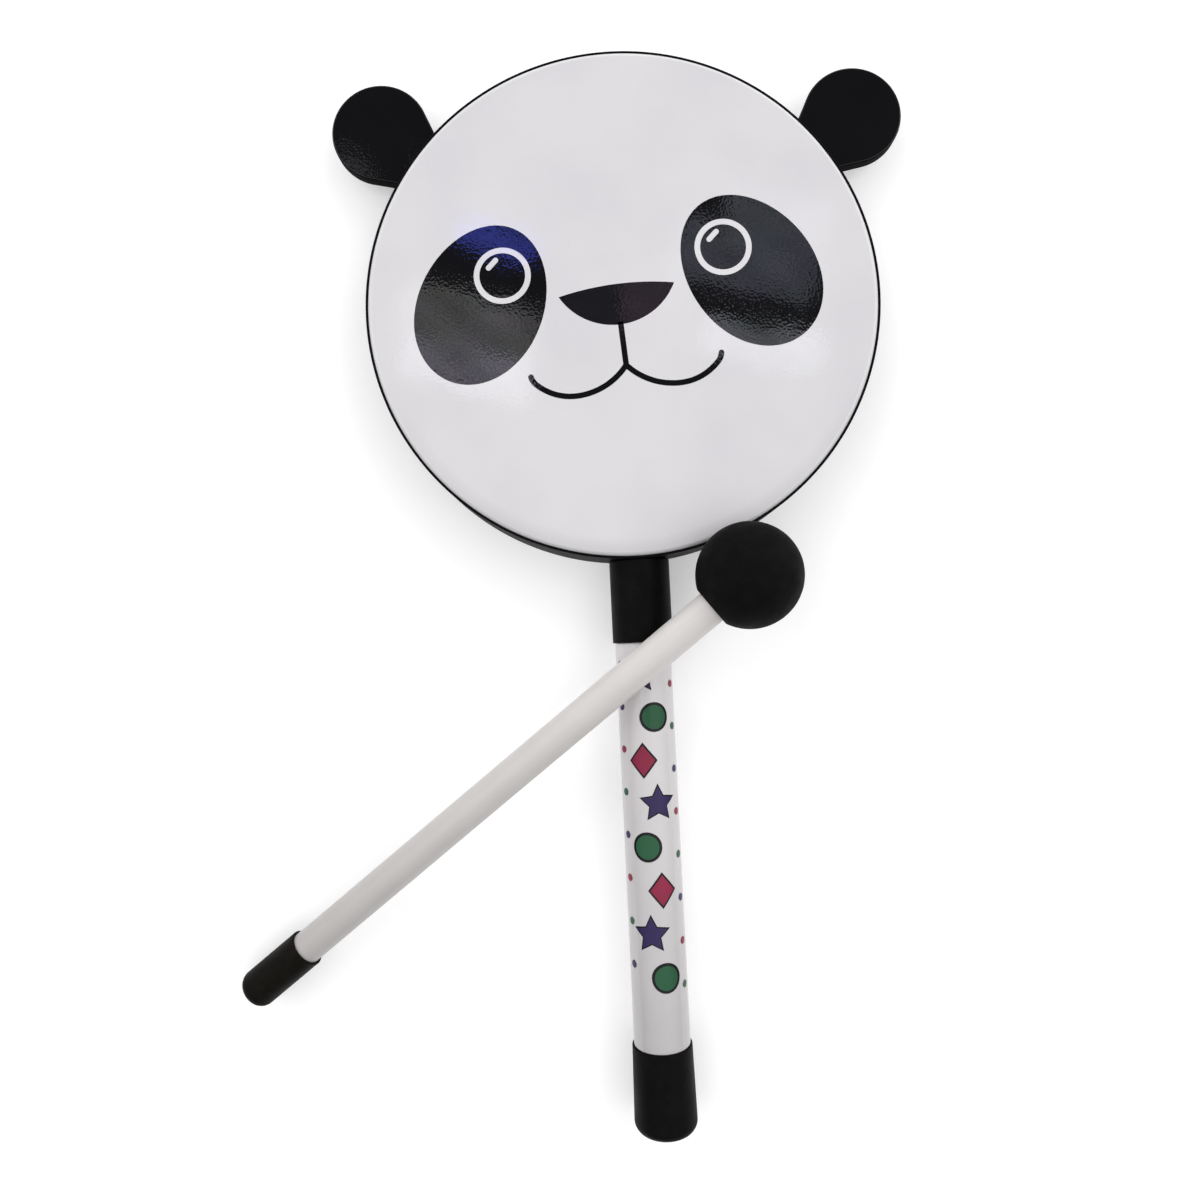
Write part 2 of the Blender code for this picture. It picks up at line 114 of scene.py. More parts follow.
def closed_up():
    """Welds the doubles of the piece in edit mode, turns its faces outwards and leaves edit mode."""
    bpy.ops.mesh.select_all(action="SELECT")
    bpy.ops.mesh.remove_doubles(threshold=WELD)
    bpy.ops.mesh.normals_make_consistent(inside=False)
    bpy.ops.object.mode_set(mode="OBJECT")


def chosen(piece):
    """Makes a piece the active one, and the only one selected."""
    bpy.ops.object.select_all(action="DESELECT")
    piece.select_set(True)
    bpy.context.view_layer.objects.active = piece


def smoothed(piece):
    """Smooth shading between close faces, led by the large flat ones."""
    chosen(piece)
    bpy.ops.object.shade_smooth_by_angle(angle=SMOOTH_UNDER)
    bpy.ops.object.modifier_add(type="WEIGHTED_NORMAL")
    piece.modifiers[-1].keep_sharp = True
    bpy.ops.object.modifier_apply(modifier=piece.modifiers[-1].name)
    return piece


def spun(name, outline, foot, axis, side, steps):
    """A round piece: an outline of (radius, distance along the axis) points, spun about that axis."""
    piece = drawn(name, [foot + side * radius + axis * along for radius, along in outline])
    bpy.ops.mesh.spin(steps=steps, angle=math.tau, center=foot, axis=axis)
    closed_up()
    return smoothed(piece)


def wire(tree, kind, sockets=None, **settings):
    """A shader node with its settings, its inputs set to values or joined to other nodes' outputs."""
    made = tree.nodes.new("ShaderNode" + kind)
    for key, value in settings.items():
        setattr(made, key, value)
    for key, value in (sockets or {}).items():
        if isinstance(value, bpy.types.NodeSocket):
            tree.links.new(value, made.inputs[key])
        else:
            made.inputs[key].default_value = value
    return made


def finish(name, shine=PLAIN_SHINE):
    """A new material of that shine, with its node tree and the piece's own coordinates."""
    material = bpy.data.materials.new(name)
    material.use_nodes = True
    tree = material.node_tree
    tree.nodes["Principled BSDF"].inputs["Specular IOR Level"].default_value = shine
    return material, tree, wire(tree, "TexCoord").outputs["Object"]


def coated(material, colour, roughness, bump):
    """Joins a finish's colour, roughness and bump to its surface shader."""
    tree = material.node_tree
    shader = tree.nodes["Principled BSDF"]
    for socket, value in (("Base Color", colour), ("Roughness", roughness), ("Normal", bump)):
        tree.links.new(value, shader.inputs[socket])
    return material


def calc(tree, operation, *values):
    """One step of arithmetic on values or other nodes' outputs."""
    return wire(tree, "Math", dict(enumerate(values)), operation=operation).outputs[0]


def stretched(tree, place, scale):
    """Coordinates drawn out or pressed together along each axis."""
    return wire(tree, "Mapping", {"Vector": place, "Scale": scale}).outputs["Vector"]


def grain(tree, place, scale, detail=2.0):
    """Soft random variation; scale counts its patches in a metre."""
    sockets = {"Vector": place, "Scale": scale, "Detail": detail}
    return wire(tree, "TexNoise", sockets).outputs["Fac"]


def span(tree, value, reach, result):
    """A value carried from the range that it reaches over to another one."""
    sockets = {"Value": value, "From Min": reach[0], "From Max": reach[1]}
    sockets.update({"To Min": result[0], "To Max": result[1]})
    return wire(tree, "MapRange", sockets).outputs["Result"]


def tint(tree, value, tones, deep, pale):
    """A colour that goes from deep to pale as the value goes from one tone mark to the other."""
    node = wire(tree, "ValToRGB", {"Fac": value})
    for stop, at, colour in zip(node.color_ramp.elements, tones, (deep, pale)):
        stop.position = at
        stop.color = (*colour, 1.0)
    return node.outputs["Color"]


def dimmed(tree, colour, shade):
    """A colour made darker by a factor."""
    return wire(tree, "VectorMath", {0: colour, "Scale": shade}, operation="SCALE").outputs[0]


def relief(tree, height, depth, under=None):
    """A bump of that depth in metres, over another one if there is one."""
    sockets = {"Height": height, "Strength": 1.0, "Distance": depth}
    if under:
        sockets["Normal"] = under
    return wire(tree, "Bump", sockets).outputs["Normal"]


def about_drum(tree, place):
    """A place's three parts measured from the drum's axis, and its distance from that axis."""
    centred = wire(tree, "Mapping", {"Vector": place, "Location": -drum_axis}).outputs["Vector"]
    parts = wire(tree, "SeparateXYZ", {"Vector": centred}).outputs
    flat = wire(tree, "CombineXYZ", {"X": parts["X"], "Y": parts["Y"]}).outputs[0]
    return parts, wire(tree, "VectorMath", {0: flat}, operation="LENGTH").outputs["Value"]


def bent_wood():
    """Wood whose grain runs round the hoop, with a dark glue line slanting across the scarf joint."""
    material, tree, place = finish("bent poplar")
    parts, out = about_drum(tree, place)
    turn = calc(tree, "ARCTAN2", parts["Y"], parts["X"])
    round_hoop = wire(tree, "CombineXYZ", {"X": turn, "Y": parts["Z"], "Z": out}).outputs[0]
    fibre = grain(tree, stretched(tree, round_hoop, HOOP_FIBRES), 1.0, detail=6.0)
    slant = calc(tree, "MULTIPLY", parts["Z"], SCARF_ANGLE_PER_METRE)
    off = calc(tree, "SUBTRACT", calc(tree, "SUBTRACT", turn, slant), SCARF_ANGLE)
    glue = span(tree, calc(tree, "ABSOLUTE", off), (0.0, SCARF_HALF_ANGLE), (SCARF_DARK, 1.0))
    colour = dimmed(tree, tint(tree, fibre, WOOD_TONES, WOOD_DEEP, WOOD_PALE), glue)
    roughness = span(tree, fibre, NOISE_REACH, HOOP_ROUGH)
    return coated(material, colour, roughness, relief(tree, fibre, HOOP_FIBRE_DEPTH))


hoop_low, hoop_high, hoop_radius = round_node("shell_hoop")
drum_axis = Vector(((hoop_low.x + hoop_high.x) / 2, (hoop_low.y + hoop_high.y) / 2, 0.0))
hoop_depth = hoop_high.z
hoop_inside = hoop_radius - HOOP_WALL
hoop_outline = far_corner(hoop_radius, hoop_depth, BEARING_ROUND, BEARING_STEPS)
hoop_outline += [(hoop_radius, BACK_CHAMFER), (hoop_radius - BACK_CHAMFER, 0.0)]
hoop_outline += [(hoop_inside + BACK_CHAMFER, 0.0), (hoop_inside, BACK_CHAMFER)]
hoop_outline += [(hoop_inside, hoop_depth - BEARING_FALL), hoop_outline[0]]
hoop = spun("shell_hoop_wood", hoop_outline, drum_axis, UP, ACROSS, HOOP_STEPS)
hoop.data.materials.append(bent_wood())
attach(hoop, "drum")
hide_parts("shell_hoop")

# Head: a white plastic film drawn tight over the bearing edge, its short skirt glued down the hoop's side.
# Its gloss is faintly dimpled like the skin of an orange, from the laminate over the print.
FILM_THICKNESS = 0.0003
FILM_ROLL = 0.0018
FILM_ROLL_STEPS = 12
FILM_FLAT_EDGE = 0.0004
FILM_WHITE = (0.70, 0.69, 0.70)
FILM_SHADE = (0.665, 0.652, 0.67)
FILM_CLOUDS = 26.0
FILM_CLOUD_TONES = (0.35, 0.65)
FILM_SMEARS = 130.0
FILM_SMEAR_REACH = (0.35, 0.7)
FILM_ROUGH = (0.02, 0.05)
FILM_DIMPLES = 1150.0
FILM_DIMPLE_DEPTH = 0.000013
FILM_WAVES = 70.0
FILM_WAVE_DEPTH = 0.00004
# Painted shade: the film's colour is darkened by this factor near the rim on the handle's side.
FILM_RIM_SHADE = 0.84
FILM_RIM_SHADE_RING = (0.0925, 0.0985)
FILM_RIM_SHADE_SIDE = (-0.03, -0.085)


def film_finish(name, pale, deep, wave_depth=FILM_WAVE_DEPTH, shine=PLAIN_SHINE):
    """Laminated film: faint clouds of tone, smears in the gloss, small dimples on a slow waviness."""
    material, tree, place = finish(name, shine)
    tone = tint(tree, grain(tree, place, FILM_CLOUDS, detail=3.0), FILM_CLOUD_TONES, deep, pale)
    gloss = span(tree, grain(tree, place, FILM_SMEARS, detail=4.0), FILM_SMEAR_REACH, FILM_ROUGH)
    waves = relief(tree, grain(tree, place, FILM_WAVES, detail=1.0), wave_depth)
    cells = {"Vector": place, "Scale": FILM_DIMPLES, "Smoothness": 1.0}
    dimples = wire(tree, "TexVoronoi", cells, feature="SMOOTH_F1").outputs["Distance"]
    return coated(material, tone, gloss, relief(tree, dimples, FILM_DIMPLE_DEPTH, waves))


def darkened(material, shade):
    """Makes a finish's colour darker by a factor."""
    tree = material.node_tree
    colour = tree.nodes["Principled BSDF"].inputs["Base Color"]
    tree.links.new(dimmed(tree, colour.links[0].from_socket, shade), colour)
    return material


def shaded_rim(material):
    """Painted shade: darkens a film in a narrow ring along the rim on the handle's side."""
    tree = material.node_tree
    parts, out = about_drum(tree, wire(tree, "TexCoord").outputs["Object"])
    near_rim = span(tree, out, FILM_RIM_SHADE_RING, (0.0, 1.0))
    near_handle = span(tree, parts["Y"], FILM_RIM_SHADE_SIDE, (0.0, 1.0))
    rim_shade = calc(tree, "MULTIPLY", near_rim, near_handle)
    return darkened(material, span(tree, rim_shade, (0.0, 1.0), (1.0, FILM_RIM_SHADE)))


film_low, film_high, film_radius = round_node("drum_head")
face_height = film_high.z
film_under = face_height - FILM_THICKNESS
flat_end = film_radius - FILM_ROLL - FILM_FLAT_EDGE
roll_middle = (film_radius - FILM_ROLL, face_height - FILM_ROLL)
film_outline = [(0.0, face_height), (flat_end, face_height)]
film_outline += far_corner(film_radius, face_height, FILM_ROLL, FILM_ROLL_STEPS)
film_outline += [(film_radius, film_low.z), (film_radius - FILM_THICKNESS, film_low.z)]
film_outline += arc(roll_middle, FILM_ROLL - FILM_THICKNESS, 0.0, 90.0, FILM_ROLL_STEPS)
film_outline += [(flat_end, film_under), (0.0, film_under)]
film = spun("drum_head_film", film_outline, drum_axis, UP, ACROSS, HOOP_STEPS)
# The head film carries painted shade along its rim on the handle's side.
film.data.materials.append(shaded_rim(film_finish("white head film", FILM_WHITE, FILM_SHADE)))
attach(film, "drum")
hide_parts("drum_head")

# Face: an animal's face printed on the film in black, under the laminate, a few degrees askew on the head.
# Each part of the print is a very thin layer; the eyes' white rings and glints lie on the black patches.
INK_HEIGHT = 0.00004
INK_SINK = 0.00002
INK_BLACK = (0.0030, 0.0030, 0.0038)
INK_SOFT = (0.0042, 0.0042, 0.0052)
FACE_TURN = math.radians(4.66)
FACE_ASIDE = -0.0018
FACE_SIDES = {"left": -1.0, "right": 1.0}
PATCH_ASIDE = 0.0527
PATCH_UP = 0.0056
PATCH_LEAN = math.radians(29.7)
PATCH_HALF_LENGTH = 0.0324
PATCH_HALF_WIDTH = 0.0244
PATCH_EGG = 0.035
PATCH_POINTS = 96
RING_ASIDE = 0.0432
RING_UP = 0.0158
RING_RADIUS = 0.0111
RING_WIDTH = 0.0022
RING_POINTS = 96
GLINT_AT = (-0.0034, 0.00505)
GLINT_LENGTH = 0.0062
GLINT_WIDTH = 0.0021
GLINT_LEAN = 41.0
GLINT_STEPS = 10
NOSE_HALF_WIDTH = 0.02255
NOSE_CORNER_UP = 0.0045
NOSE_BROW = 0.0023
NOSE_BROW_STEPS = 16
NOSE_DROP = 0.0137
NOSE_BOWL_STEPS = 40
MOUTH_LINE = 0.0022
SMILE_LOWEST = (0.0203, -0.0348)
SMILE_INNER_RADIUS = 0.0263
SMILE_INNER_STEPS = 20
SMILE_OUTER_RADIUS = 0.0210
SMILE_OUTER_STEPS = 12
SMILE_CURL_RADIUS = 0.0060
SMILE_CURL_START = -43.6
SMILE_CURL_STEPS = 8
SMILE_END = -10.0
SMILE_END_STEPS = 10


def turned(x, y, angle):
    """A point turned about the origin."""
    return x * math.cos(angle) - y * math.sin(angle), x * math.sin(angle) + y * math.cos(angle)


def over_drum(x, y, angle):
    """A point measured from the drum's middle, turned about it, as a place over the drum."""
    turned_x, turned_y = turned(x, y, angle)
    return drum_axis.x + turned_x, drum_axis.y + turned_y


def on_face(point):
    """A point of the face, measured from the face's middle line, as a place over the drum."""
    return over_drum(point[0] + FACE_ASIDE, point[1], FACE_TURN)


def filled(name, points):
    """Starts a piece as one flat face: its outline is drawn, closed and filled."""
    piece = drawn(name, points + points[:1])
    bpy.ops.mesh.remove_doubles(threshold=WELD)
    bpy.ops.mesh.edge_face_add()
    return piece


def raised(thickness):
    """Raises the face in edit mode to a thickness and closes the piece."""
    bpy.ops.mesh.extrude_region_move(TRANSFORM_OT_translate={"value": UP * thickness})
    closed_up()


def sheet_piece(name, outline, bottom, top):
    """A flat piece with an outline and a thickness."""
    piece = filled(name, [Vector((x, y, bottom)) for x, y in outline])
    raised(top - bottom)
    return piece


def ink_bottom(layer):
    """Where a layer of ink starts, a little sunk in the film or in the layer below it."""
    return face_height + layer * INK_HEIGHT - INK_SINK


def printed(name, outline, layer, material):
    """One part of the face, on the film or on the layer of ink below it."""
    low = ink_bottom(layer)
    piece = sheet_piece(name, [on_face(point) for point in outline], low, low + INK_SINK + INK_HEIGHT)
    piece.data.materials.append(material)
    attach(piece, "drum")


def printed_ring(name, middle, layer, material):
    """The white ring of an eye: a disc whose inside is inset and taken out."""
    place = (*on_face(middle), ink_bottom(layer))
    bpy.ops.object.select_all(action="DESELECT")
    bpy.ops.mesh.primitive_circle_add(
        vertices=RING_POINTS, radius=RING_RADIUS, fill_type="NGON", location=place
    )
    ring = bpy.context.object
    ring.name = name
    bpy.ops.object.transform_apply(location=True)
    bpy.ops.object.mode_set(mode="EDIT")
    bpy.ops.mesh.inset(thickness=RING_WIDTH)
    bpy.ops.mesh.delete(type="FACE")
    bpy.ops.mesh.select_all(action="SELECT")
    raised(INK_SINK + INK_HEIGHT)
    ring.data.materials.append(material)
    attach(ring, "drum")


def circle_between(half_chord, rise):
    """The radius of the arc that rises so far over half its chord."""
    return (half_chord**2 + rise**2) / (2 * rise)


def patch_outline(side):
    """An egg that leans outwards at the bottom, a little fuller there."""
    points = []
    for i in range(PATCH_POINTS):
        angle = math.tau * i / PATCH_POINTS
        along = PATCH_HALF_LENGTH * math.cos(angle)
        across = PATCH_HALF_WIDTH * math.sin(angle) * (1 - PATCH_EGG * math.cos(angle))
        x, y = turned(across, along, PATCH_LEAN)
        points.append((side * (PATCH_ASIDE + x), PATCH_UP + y))
    return points


def glint_outline(side):
    """A short bar with round ends, at the upper left of either eye."""
    middle = Vector((side * RING_ASIDE + GLINT_AT[0], RING_UP + GLINT_AT[1]))
    reach = Vector(at_angle((0.0, 0.0), (GLINT_LENGTH - GLINT_WIDTH) / 2, GLINT_LEAN))
    upper = arc(middle + reach, GLINT_WIDTH / 2, GLINT_LEAN - 90.0, GLINT_LEAN + 90.0, GLINT_STEPS)
    lower = arc(middle - reach, GLINT_WIDTH / 2, GLINT_LEAN + 90.0, GLINT_LEAN + 270.0, GLINT_STEPS)
    return upper + lower


def nose_outline():
    """A wide nose: nearly straight along the top, a bowl below, with a corner at either side."""
    bowl = circle_between(NOSE_HALF_WIDTH, NOSE_DROP)
    brow = circle_between(NOSE_HALF_WIDTH, NOSE_BROW)
    bowl_half = math.degrees(math.asin(NOSE_HALF_WIDTH / bowl))
    brow_half = math.degrees(math.asin(NOSE_HALF_WIDTH / brow))
    bowl_middle = (0.0, NOSE_CORNER_UP - NOSE_DROP + bowl)
    brow_middle = (0.0, NOSE_CORNER_UP + NOSE_BROW - brow)
    below = arc(bowl_middle, bowl, -90.0 - bowl_half, -90.0 + bowl_half, NOSE_BOWL_STEPS)
    above = arc(brow_middle, brow, 90.0 - brow_half, 90.0 + brow_half, NOSE_BROW_STEPS)
    return below + above[1:-1]


def mouth_outline():
    """A line down from the nose that forks into two curls of three arcs, tightest at their round ends."""
    half = MOUTH_LINE / 2
    low_x, low_y = SMILE_LOWEST
    inner = (low_x, low_y + SMILE_INNER_RADIUS)
    outer = (low_x, low_y + SMILE_OUTER_RADIUS)
    curl = at_angle(outer, SMILE_OUTER_RADIUS - SMILE_CURL_RADIUS, SMILE_CURL_START)
    tip = at_angle(curl, SMILE_CURL_RADIUS, SMILE_END)
    fork_above = -math.degrees(math.acos((half - low_x) / (SMILE_INNER_RADIUS - half)))
    fork_below = -math.degrees(math.acos(-low_x / (SMILE_INNER_RADIUS + half)))
    right = [(half, NOSE_CORNER_UP - NOSE_DROP + half)]
    right += arc(inner, SMILE_INNER_RADIUS - half, fork_above, -90.0, SMILE_INNER_STEPS)
    right += arc(outer, SMILE_OUTER_RADIUS - half, -90.0, SMILE_CURL_START, SMILE_OUTER_STEPS)[1:]
    right += arc(curl, SMILE_CURL_RADIUS - half, SMILE_CURL_START, SMILE_END, SMILE_CURL_STEPS)[1:]
    right += arc(tip, half, SMILE_END + 180.0, SMILE_END, SMILE_END_STEPS)[1:]
    right += arc(curl, SMILE_CURL_RADIUS + half, SMILE_END, SMILE_CURL_START, SMILE_CURL_STEPS)[1:]
    right += arc(outer, SMILE_OUTER_RADIUS + half, SMILE_CURL_START, -90.0, SMILE_OUTER_STEPS)[1:]
    right += arc(inner, SMILE_INNER_RADIUS + half, -90.0, fork_below, SMILE_INNER_STEPS)[1:]
    return right + [(-x, y) for x, y in reversed(right[:-1])]


ink = film_finish("black face ink", INK_SOFT, INK_BLACK)
eye_white = film_finish("white eye ink", FILM_WHITE, FILM_SHADE)
printed("nose_print", nose_outline(), 0, ink)
printed("mouth_print", mouth_outline(), 0, ink)
for side_name, side in FACE_SIDES.items():
    printed(side_name + "_eye_patch", patch_outline(side), 0, ink)
    printed(side_name + "_eye_glint", glint_outline(side), 1, eye_white)
    printed_ring(side_name + "_eye_ring", (side * RING_ASIDE, RING_UP), 1, eye_white)

# Rim band: a strip of black vinyl glued round the hoop over the film's skirt.
# Its edges are softly cut, and it is the black line round the white head.
BAND_EDGE = 0.0002
BAND_EDGE_STEPS = 4
BAND_BLACK = (0.0030, 0.0030, 0.0036)
BAND_WORN = (0.0050, 0.0050, 0.0056)
BAND_STRETCH = (1.0, 1.0, 7.0)
BAND_SCUFFS = 160.0
BAND_SCUFF_TONES = (0.45, 0.8)
BAND_SCUFF_REACH = (0.3, 0.75)
BAND_ROUGH = (0.45, 0.65)
BAND_SHINE = 0.04
BAND_GRAIN = 1500.0
BAND_GRAIN_DEPTH = 0.00001


def near_corner(radius, along, rounding, steps):
    """The rounded outer corner at the near end of a spun outline, from its side to its end face."""
    return arc((radius - rounding, along + rounding), rounding, 0.0, -90.0, steps)


def vinyl_finish():
    """Satin vinyl with scuffs along the strip and a fine grain."""
    material, tree, place = finish("black rim vinyl", BAND_SHINE)
    scuffs = grain(tree, stretched(tree, place, BAND_STRETCH), BAND_SCUFFS, detail=5.0)
    tone = tint(tree, scuffs, BAND_SCUFF_TONES, BAND_BLACK, BAND_WORN)
    roughness = span(tree, scuffs, BAND_SCUFF_REACH, BAND_ROUGH)
    return coated(material, tone, roughness, relief(tree, grain(tree, place, BAND_GRAIN), BAND_GRAIN_DEPTH))


band_low, band_high, band_radius = round_node("rim_band")
band_inside = film_radius
band_outline = [(band_inside, band_low.z), (band_inside, band_high.z)]
band_outline += far_corner(band_radius, band_high.z, BAND_EDGE, BAND_EDGE_STEPS)
band_outline += near_corner(band_radius, band_low.z, BAND_EDGE, BAND_EDGE_STEPS)
band_outline += band_outline[:1]
band = spun("rim_band_vinyl", band_outline, drum_axis, UP, ACROSS, HOOP_STEPS)
band.data.materials.append(vinyl_finish())
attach(band, "drum")
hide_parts("rim_band")

# Ears: rounds cut from thin board, faced with the same dimpled film in black, their edges painted black.
# Their sides run straight in to a foot cut to the curve of the rim, which two screws hold from inside.
EAR_LEANS = {"left": math.radians(50.3), "right": math.radians(-52.0)}
EAR_RADIUS = 0.0196
EAR_STEPS = 96
EAR_STANDOFF = 0.0223
EAR_FOOT_WIDTH = 0.021
EAR_SEAT_STEPS = 20
EAR_EDGE = 0.0006
EAR_EDGE_STEPS = 4
RIM_CLEARANCE = 0.0003
EAR_BLACK = (0.0026, 0.0026, 0.0034)
EAR_SOFT = (0.0038, 0.0038, 0.0048)
EDGE_STEEP = 0.95
PAINT_BRUSHING = 420.0
PAINT_TONES = (0.35, 0.7)
PAINT_ROUGH = (0.6, 0.75)
PAINT_DEPTH = 0.00004
ear_low, ear_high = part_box("left_ear")
rim_seat = band_radius + RIM_CLEARANCE


def ear_outline():
    """The ear from the front, upright: the round, its straight sides and the hollow that fits the rim."""
    middle = (0.0, band_radius + EAR_STANDOFF)
    foot = EAR_FOOT_WIDTH / 2
    climb = middle[1] - math.sqrt(rim_seat**2 - foot**2)
    lean = math.atan2(climb, -foot) - math.asin(EAR_RADIUS / math.hypot(foot, climb))
    start = math.degrees(lean) - 90.0
    seat = math.degrees(math.acos(foot / rim_seat))
    outline = arc(middle, EAR_RADIUS, start, 180.0 - start, EAR_STEPS)
    return outline + arc((0.0, 0.0), rim_seat, 180.0 - seat, seat, EAR_SEAT_STEPS)


def edge_paint():
    """Matt black paint, brushed on the sawn edge."""
    material, tree, place = finish("black edge paint", BAND_SHINE)
    brushing = grain(tree, place, PAINT_BRUSHING, detail=4.0)
    tone = tint(tree, brushing, PAINT_TONES, EAR_BLACK, EAR_SOFT)
    roughness = span(tree, brushing, NOISE_REACH, PAINT_ROUGH)
    return coated(material, tone, roughness, relief(tree, brushing, PAINT_DEPTH))


ear_black = film_finish("black ear film", EAR_SOFT, EAR_BLACK)
edge_black = edge_paint()
for side_name, lean in EAR_LEANS.items():
    outline = [over_drum(x, y, lean) for x, y in ear_outline()]
    ear = sheet_piece(side_name + "_ear_board", outline, ear_low.z, ear_high.z)
    bpy.ops.object.modifier_add(type="BEVEL")
    ear.modifiers[-1].width = EAR_EDGE
    ear.modifiers[-1].segments = EAR_EDGE_STEPS
    ear.modifiers[-1].angle_limit = SMOOTH_UNDER
    bpy.ops.object.modifier_apply(modifier=ear.modifiers[-1].name)
    smoothed(ear)
    ear.data.materials.append(ear_black)
    ear.data.materials.append(edge_black)
    for side_face in ear.data.polygons:
        side_face.material_index = int(abs(side_face.normal.z) < EDGE_STEEP)
    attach(ear, "drum")
    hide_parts(side_name + "_ear")

# Screws: zinc-plated wood screws with domed heads and a cross recess, driven from inside the hoop.
# Two small ones hold each ear, and a larger one with a washer holds the handle's plug.
SCREW_STEPS = 40
DOME_STEPS = 8
CROSS_HALF_WIDTH = 0.12
CROSS_REACH = 0.62
CROSS_DEPTH = 0.6
EAR_SCREW = {"tip": 0.0022, "radius": 0.0011, "head_height": 0.0014}
HANDLE_SCREW = {"tip": 0.004, "radius": 0.002, "head_height": 0.0026}
WASHER_EDGE = 0.00025
WASHER_EDGE_STEPS = 3
WASHER_HOLE = 0.0023
WASHER_STEPS = 64
DOWN_HANDLE = Vector((0.0, -1.0, 0.0))
ZINC = (0.52, 0.53, 0.56)
ZINC_DULL = (0.36, 0.36, 0.38)
ZINC_BLOTCHES = 700.0
ZINC_TONES = (0.35, 0.65)
ZINC_ROUGH = (0.42, 0.26)
ZINC_SCRATCHES = 4200.0
ZINC_SCRATCH_DEPTH = 0.000006


def zinc_finish():
    """Bright zinc plate, blotched and finely scratched."""
    material, tree, place = finish("bright zinc")
    tree.nodes["Principled BSDF"].inputs["Metallic"].default_value = 1.0
    blotches = grain(tree, place, ZINC_BLOTCHES, detail=4.0)
    tone = tint(tree, blotches, ZINC_TONES, ZINC_DULL, ZINC)
    roughness = span(tree, blotches, NOISE_REACH, ZINC_ROUGH)
    scratches = grain(tree, place, ZINC_SCRATCHES, detail=3.0)
    return coated(material, tone, roughness, relief(tree, scratches, ZINC_SCRATCH_DEPTH))


def node_points(node):
    """The points of a node's solid."""
    return np.array([vertex.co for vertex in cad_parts[node].data.vertices])


def about_axis(points, middle, axis):
    """How far points lie along an axis through a middle, and how far from it."""
    offset = points - np.array(middle)
    along = offset @ np.array(axis)
    return along, np.linalg.norm(offset - np.outer(along, axis), axis=1)


def node_axis(node):
    """The middle of a long round node, the direction of its axis, and its points about that axis."""
    points = node_points(node)
    middle = points.mean(axis=0)
    axis = np.linalg.svd(points - middle, full_matrices=False)[2][0]
    along, away = about_axis(points, middle, axis)
    return Vector(middle), Vector(axis), along, away


def cut_out(piece, cutter):
    """Cuts the shape of one piece out of another and removes the cutter."""
    cut = piece.modifiers.new("Cut", "BOOLEAN")
    cut.object = cutter
    chosen(piece)
    bpy.ops.object.modifier_apply(modifier=cut.name)
    bpy.data.objects.remove(cutter)


def screw_piece(name, node, outwards, tip, radius, head_height):
    """A screw in its node's place that points along outwards, its cross recess sunk in the head."""
    middle, axis, along, away = node_axis(node)
    if axis.dot(outwards) < 0:
        axis, along = -axis, -along
    end, top = along.max(), along.min()
    head_radius = away.max()
    dome = head_height / 2
    outline = [(0.0, end), (radius, end - tip)]
    outline += [(radius, top + head_height), (head_radius, top + head_height)]
    quarter = arc((0.0, 0.0), 1.0, 0.0, 90.0, DOME_STEPS)
    outline += [(head_radius * x, top + dome - dome * y) for x, y in quarter[:-1]]
    outline += [(0.0, top)]
    side = axis.orthogonal().normalized()
    screw = spun(name, outline, middle, axis, side, SCREW_STEPS)
    other = axis.cross(side)
    for reach, width in ((side, other), (other, side)):
        bpy.ops.object.select_all(action="DESELECT")
        bpy.ops.mesh.primitive_cube_add(size=2.0)
        slot_block = bpy.context.object
        for vertex in slot_block.data.vertices:
            corner = vertex.co.copy()
            vertex.co = middle + axis * top
            vertex.co += reach * corner.x * head_radius * CROSS_REACH
            vertex.co += width * corner.y * head_radius * CROSS_HALF_WIDTH
            vertex.co += axis * corner.z * head_height * CROSS_DEPTH
        cut_out(screw, slot_block)
    bpy.ops.object.mode_set(mode="EDIT")
    closed_up()
    smoothed(screw)
    screw.data.materials.append(zinc)
    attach(screw, "drum")
    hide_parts(node)


zinc = zinc_finish()
for side_name, lean in EAR_LEANS.items():
    outwards = Vector((-math.sin(lean), math.cos(lean), 0.0))
    for number in (1, 2):
        node = f"{side_name}_ear_screw_{number}"
        screw_piece(node + "_zinc", node, outwards, **EAR_SCREW)
screw_piece("handle_screw_zinc", "handle_screw", DOWN_HANDLE, **HANDLE_SCREW)
washer_low, washer_high, washer_radius = round_node("handle_washer")
handle_foot = Vector(((washer_low.x + washer_high.x) / 2, 0.0, (washer_low.z + washer_high.z) / 2))
washer_outline = [(WASHER_HOLE, -washer_high.y), (WASHER_HOLE, -washer_low.y)]
washer_outline += far_corner(washer_radius, -washer_low.y, WASHER_EDGE, WASHER_EDGE_STEPS)
washer_outline += near_corner(washer_radius, -washer_high.y, WASHER_EDGE, WASHER_EDGE_STEPS)
washer_outline += washer_outline[:1]
washer = spun("handle_washer_zinc", washer_outline, handle_foot, DOWN_HANDLE, ACROSS, WASHER_STEPS)
washer.data.materials.append(zinc)
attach(washer, "drum")
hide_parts("handle_washer")

# Plug and tube: a turned wooden plug glued in the upper end of an extruded white plastic tube.
# Both are hidden in the finished drum: the sleeve covers the tube and the rubber cups its ends.
PLUG_FIBRES = (420.0, 22.0, 420.0)
PLUG_FIBRE_DEPTH = 0.0001
PLUG_ROUGH = (0.75, 0.6)
TUBE_WHITE = (0.66, 0.66, 0.65)
TUBE_SHADE = (0.60, 0.60, 0.59)
TUBE_TONES = (0.35, 0.6)
TUBE_LINES = (600.0, 9.0, 600.0)
TUBE_LINE_DEPTH = 0.00001
TUBE_ROUGH = (0.3, 0.42)


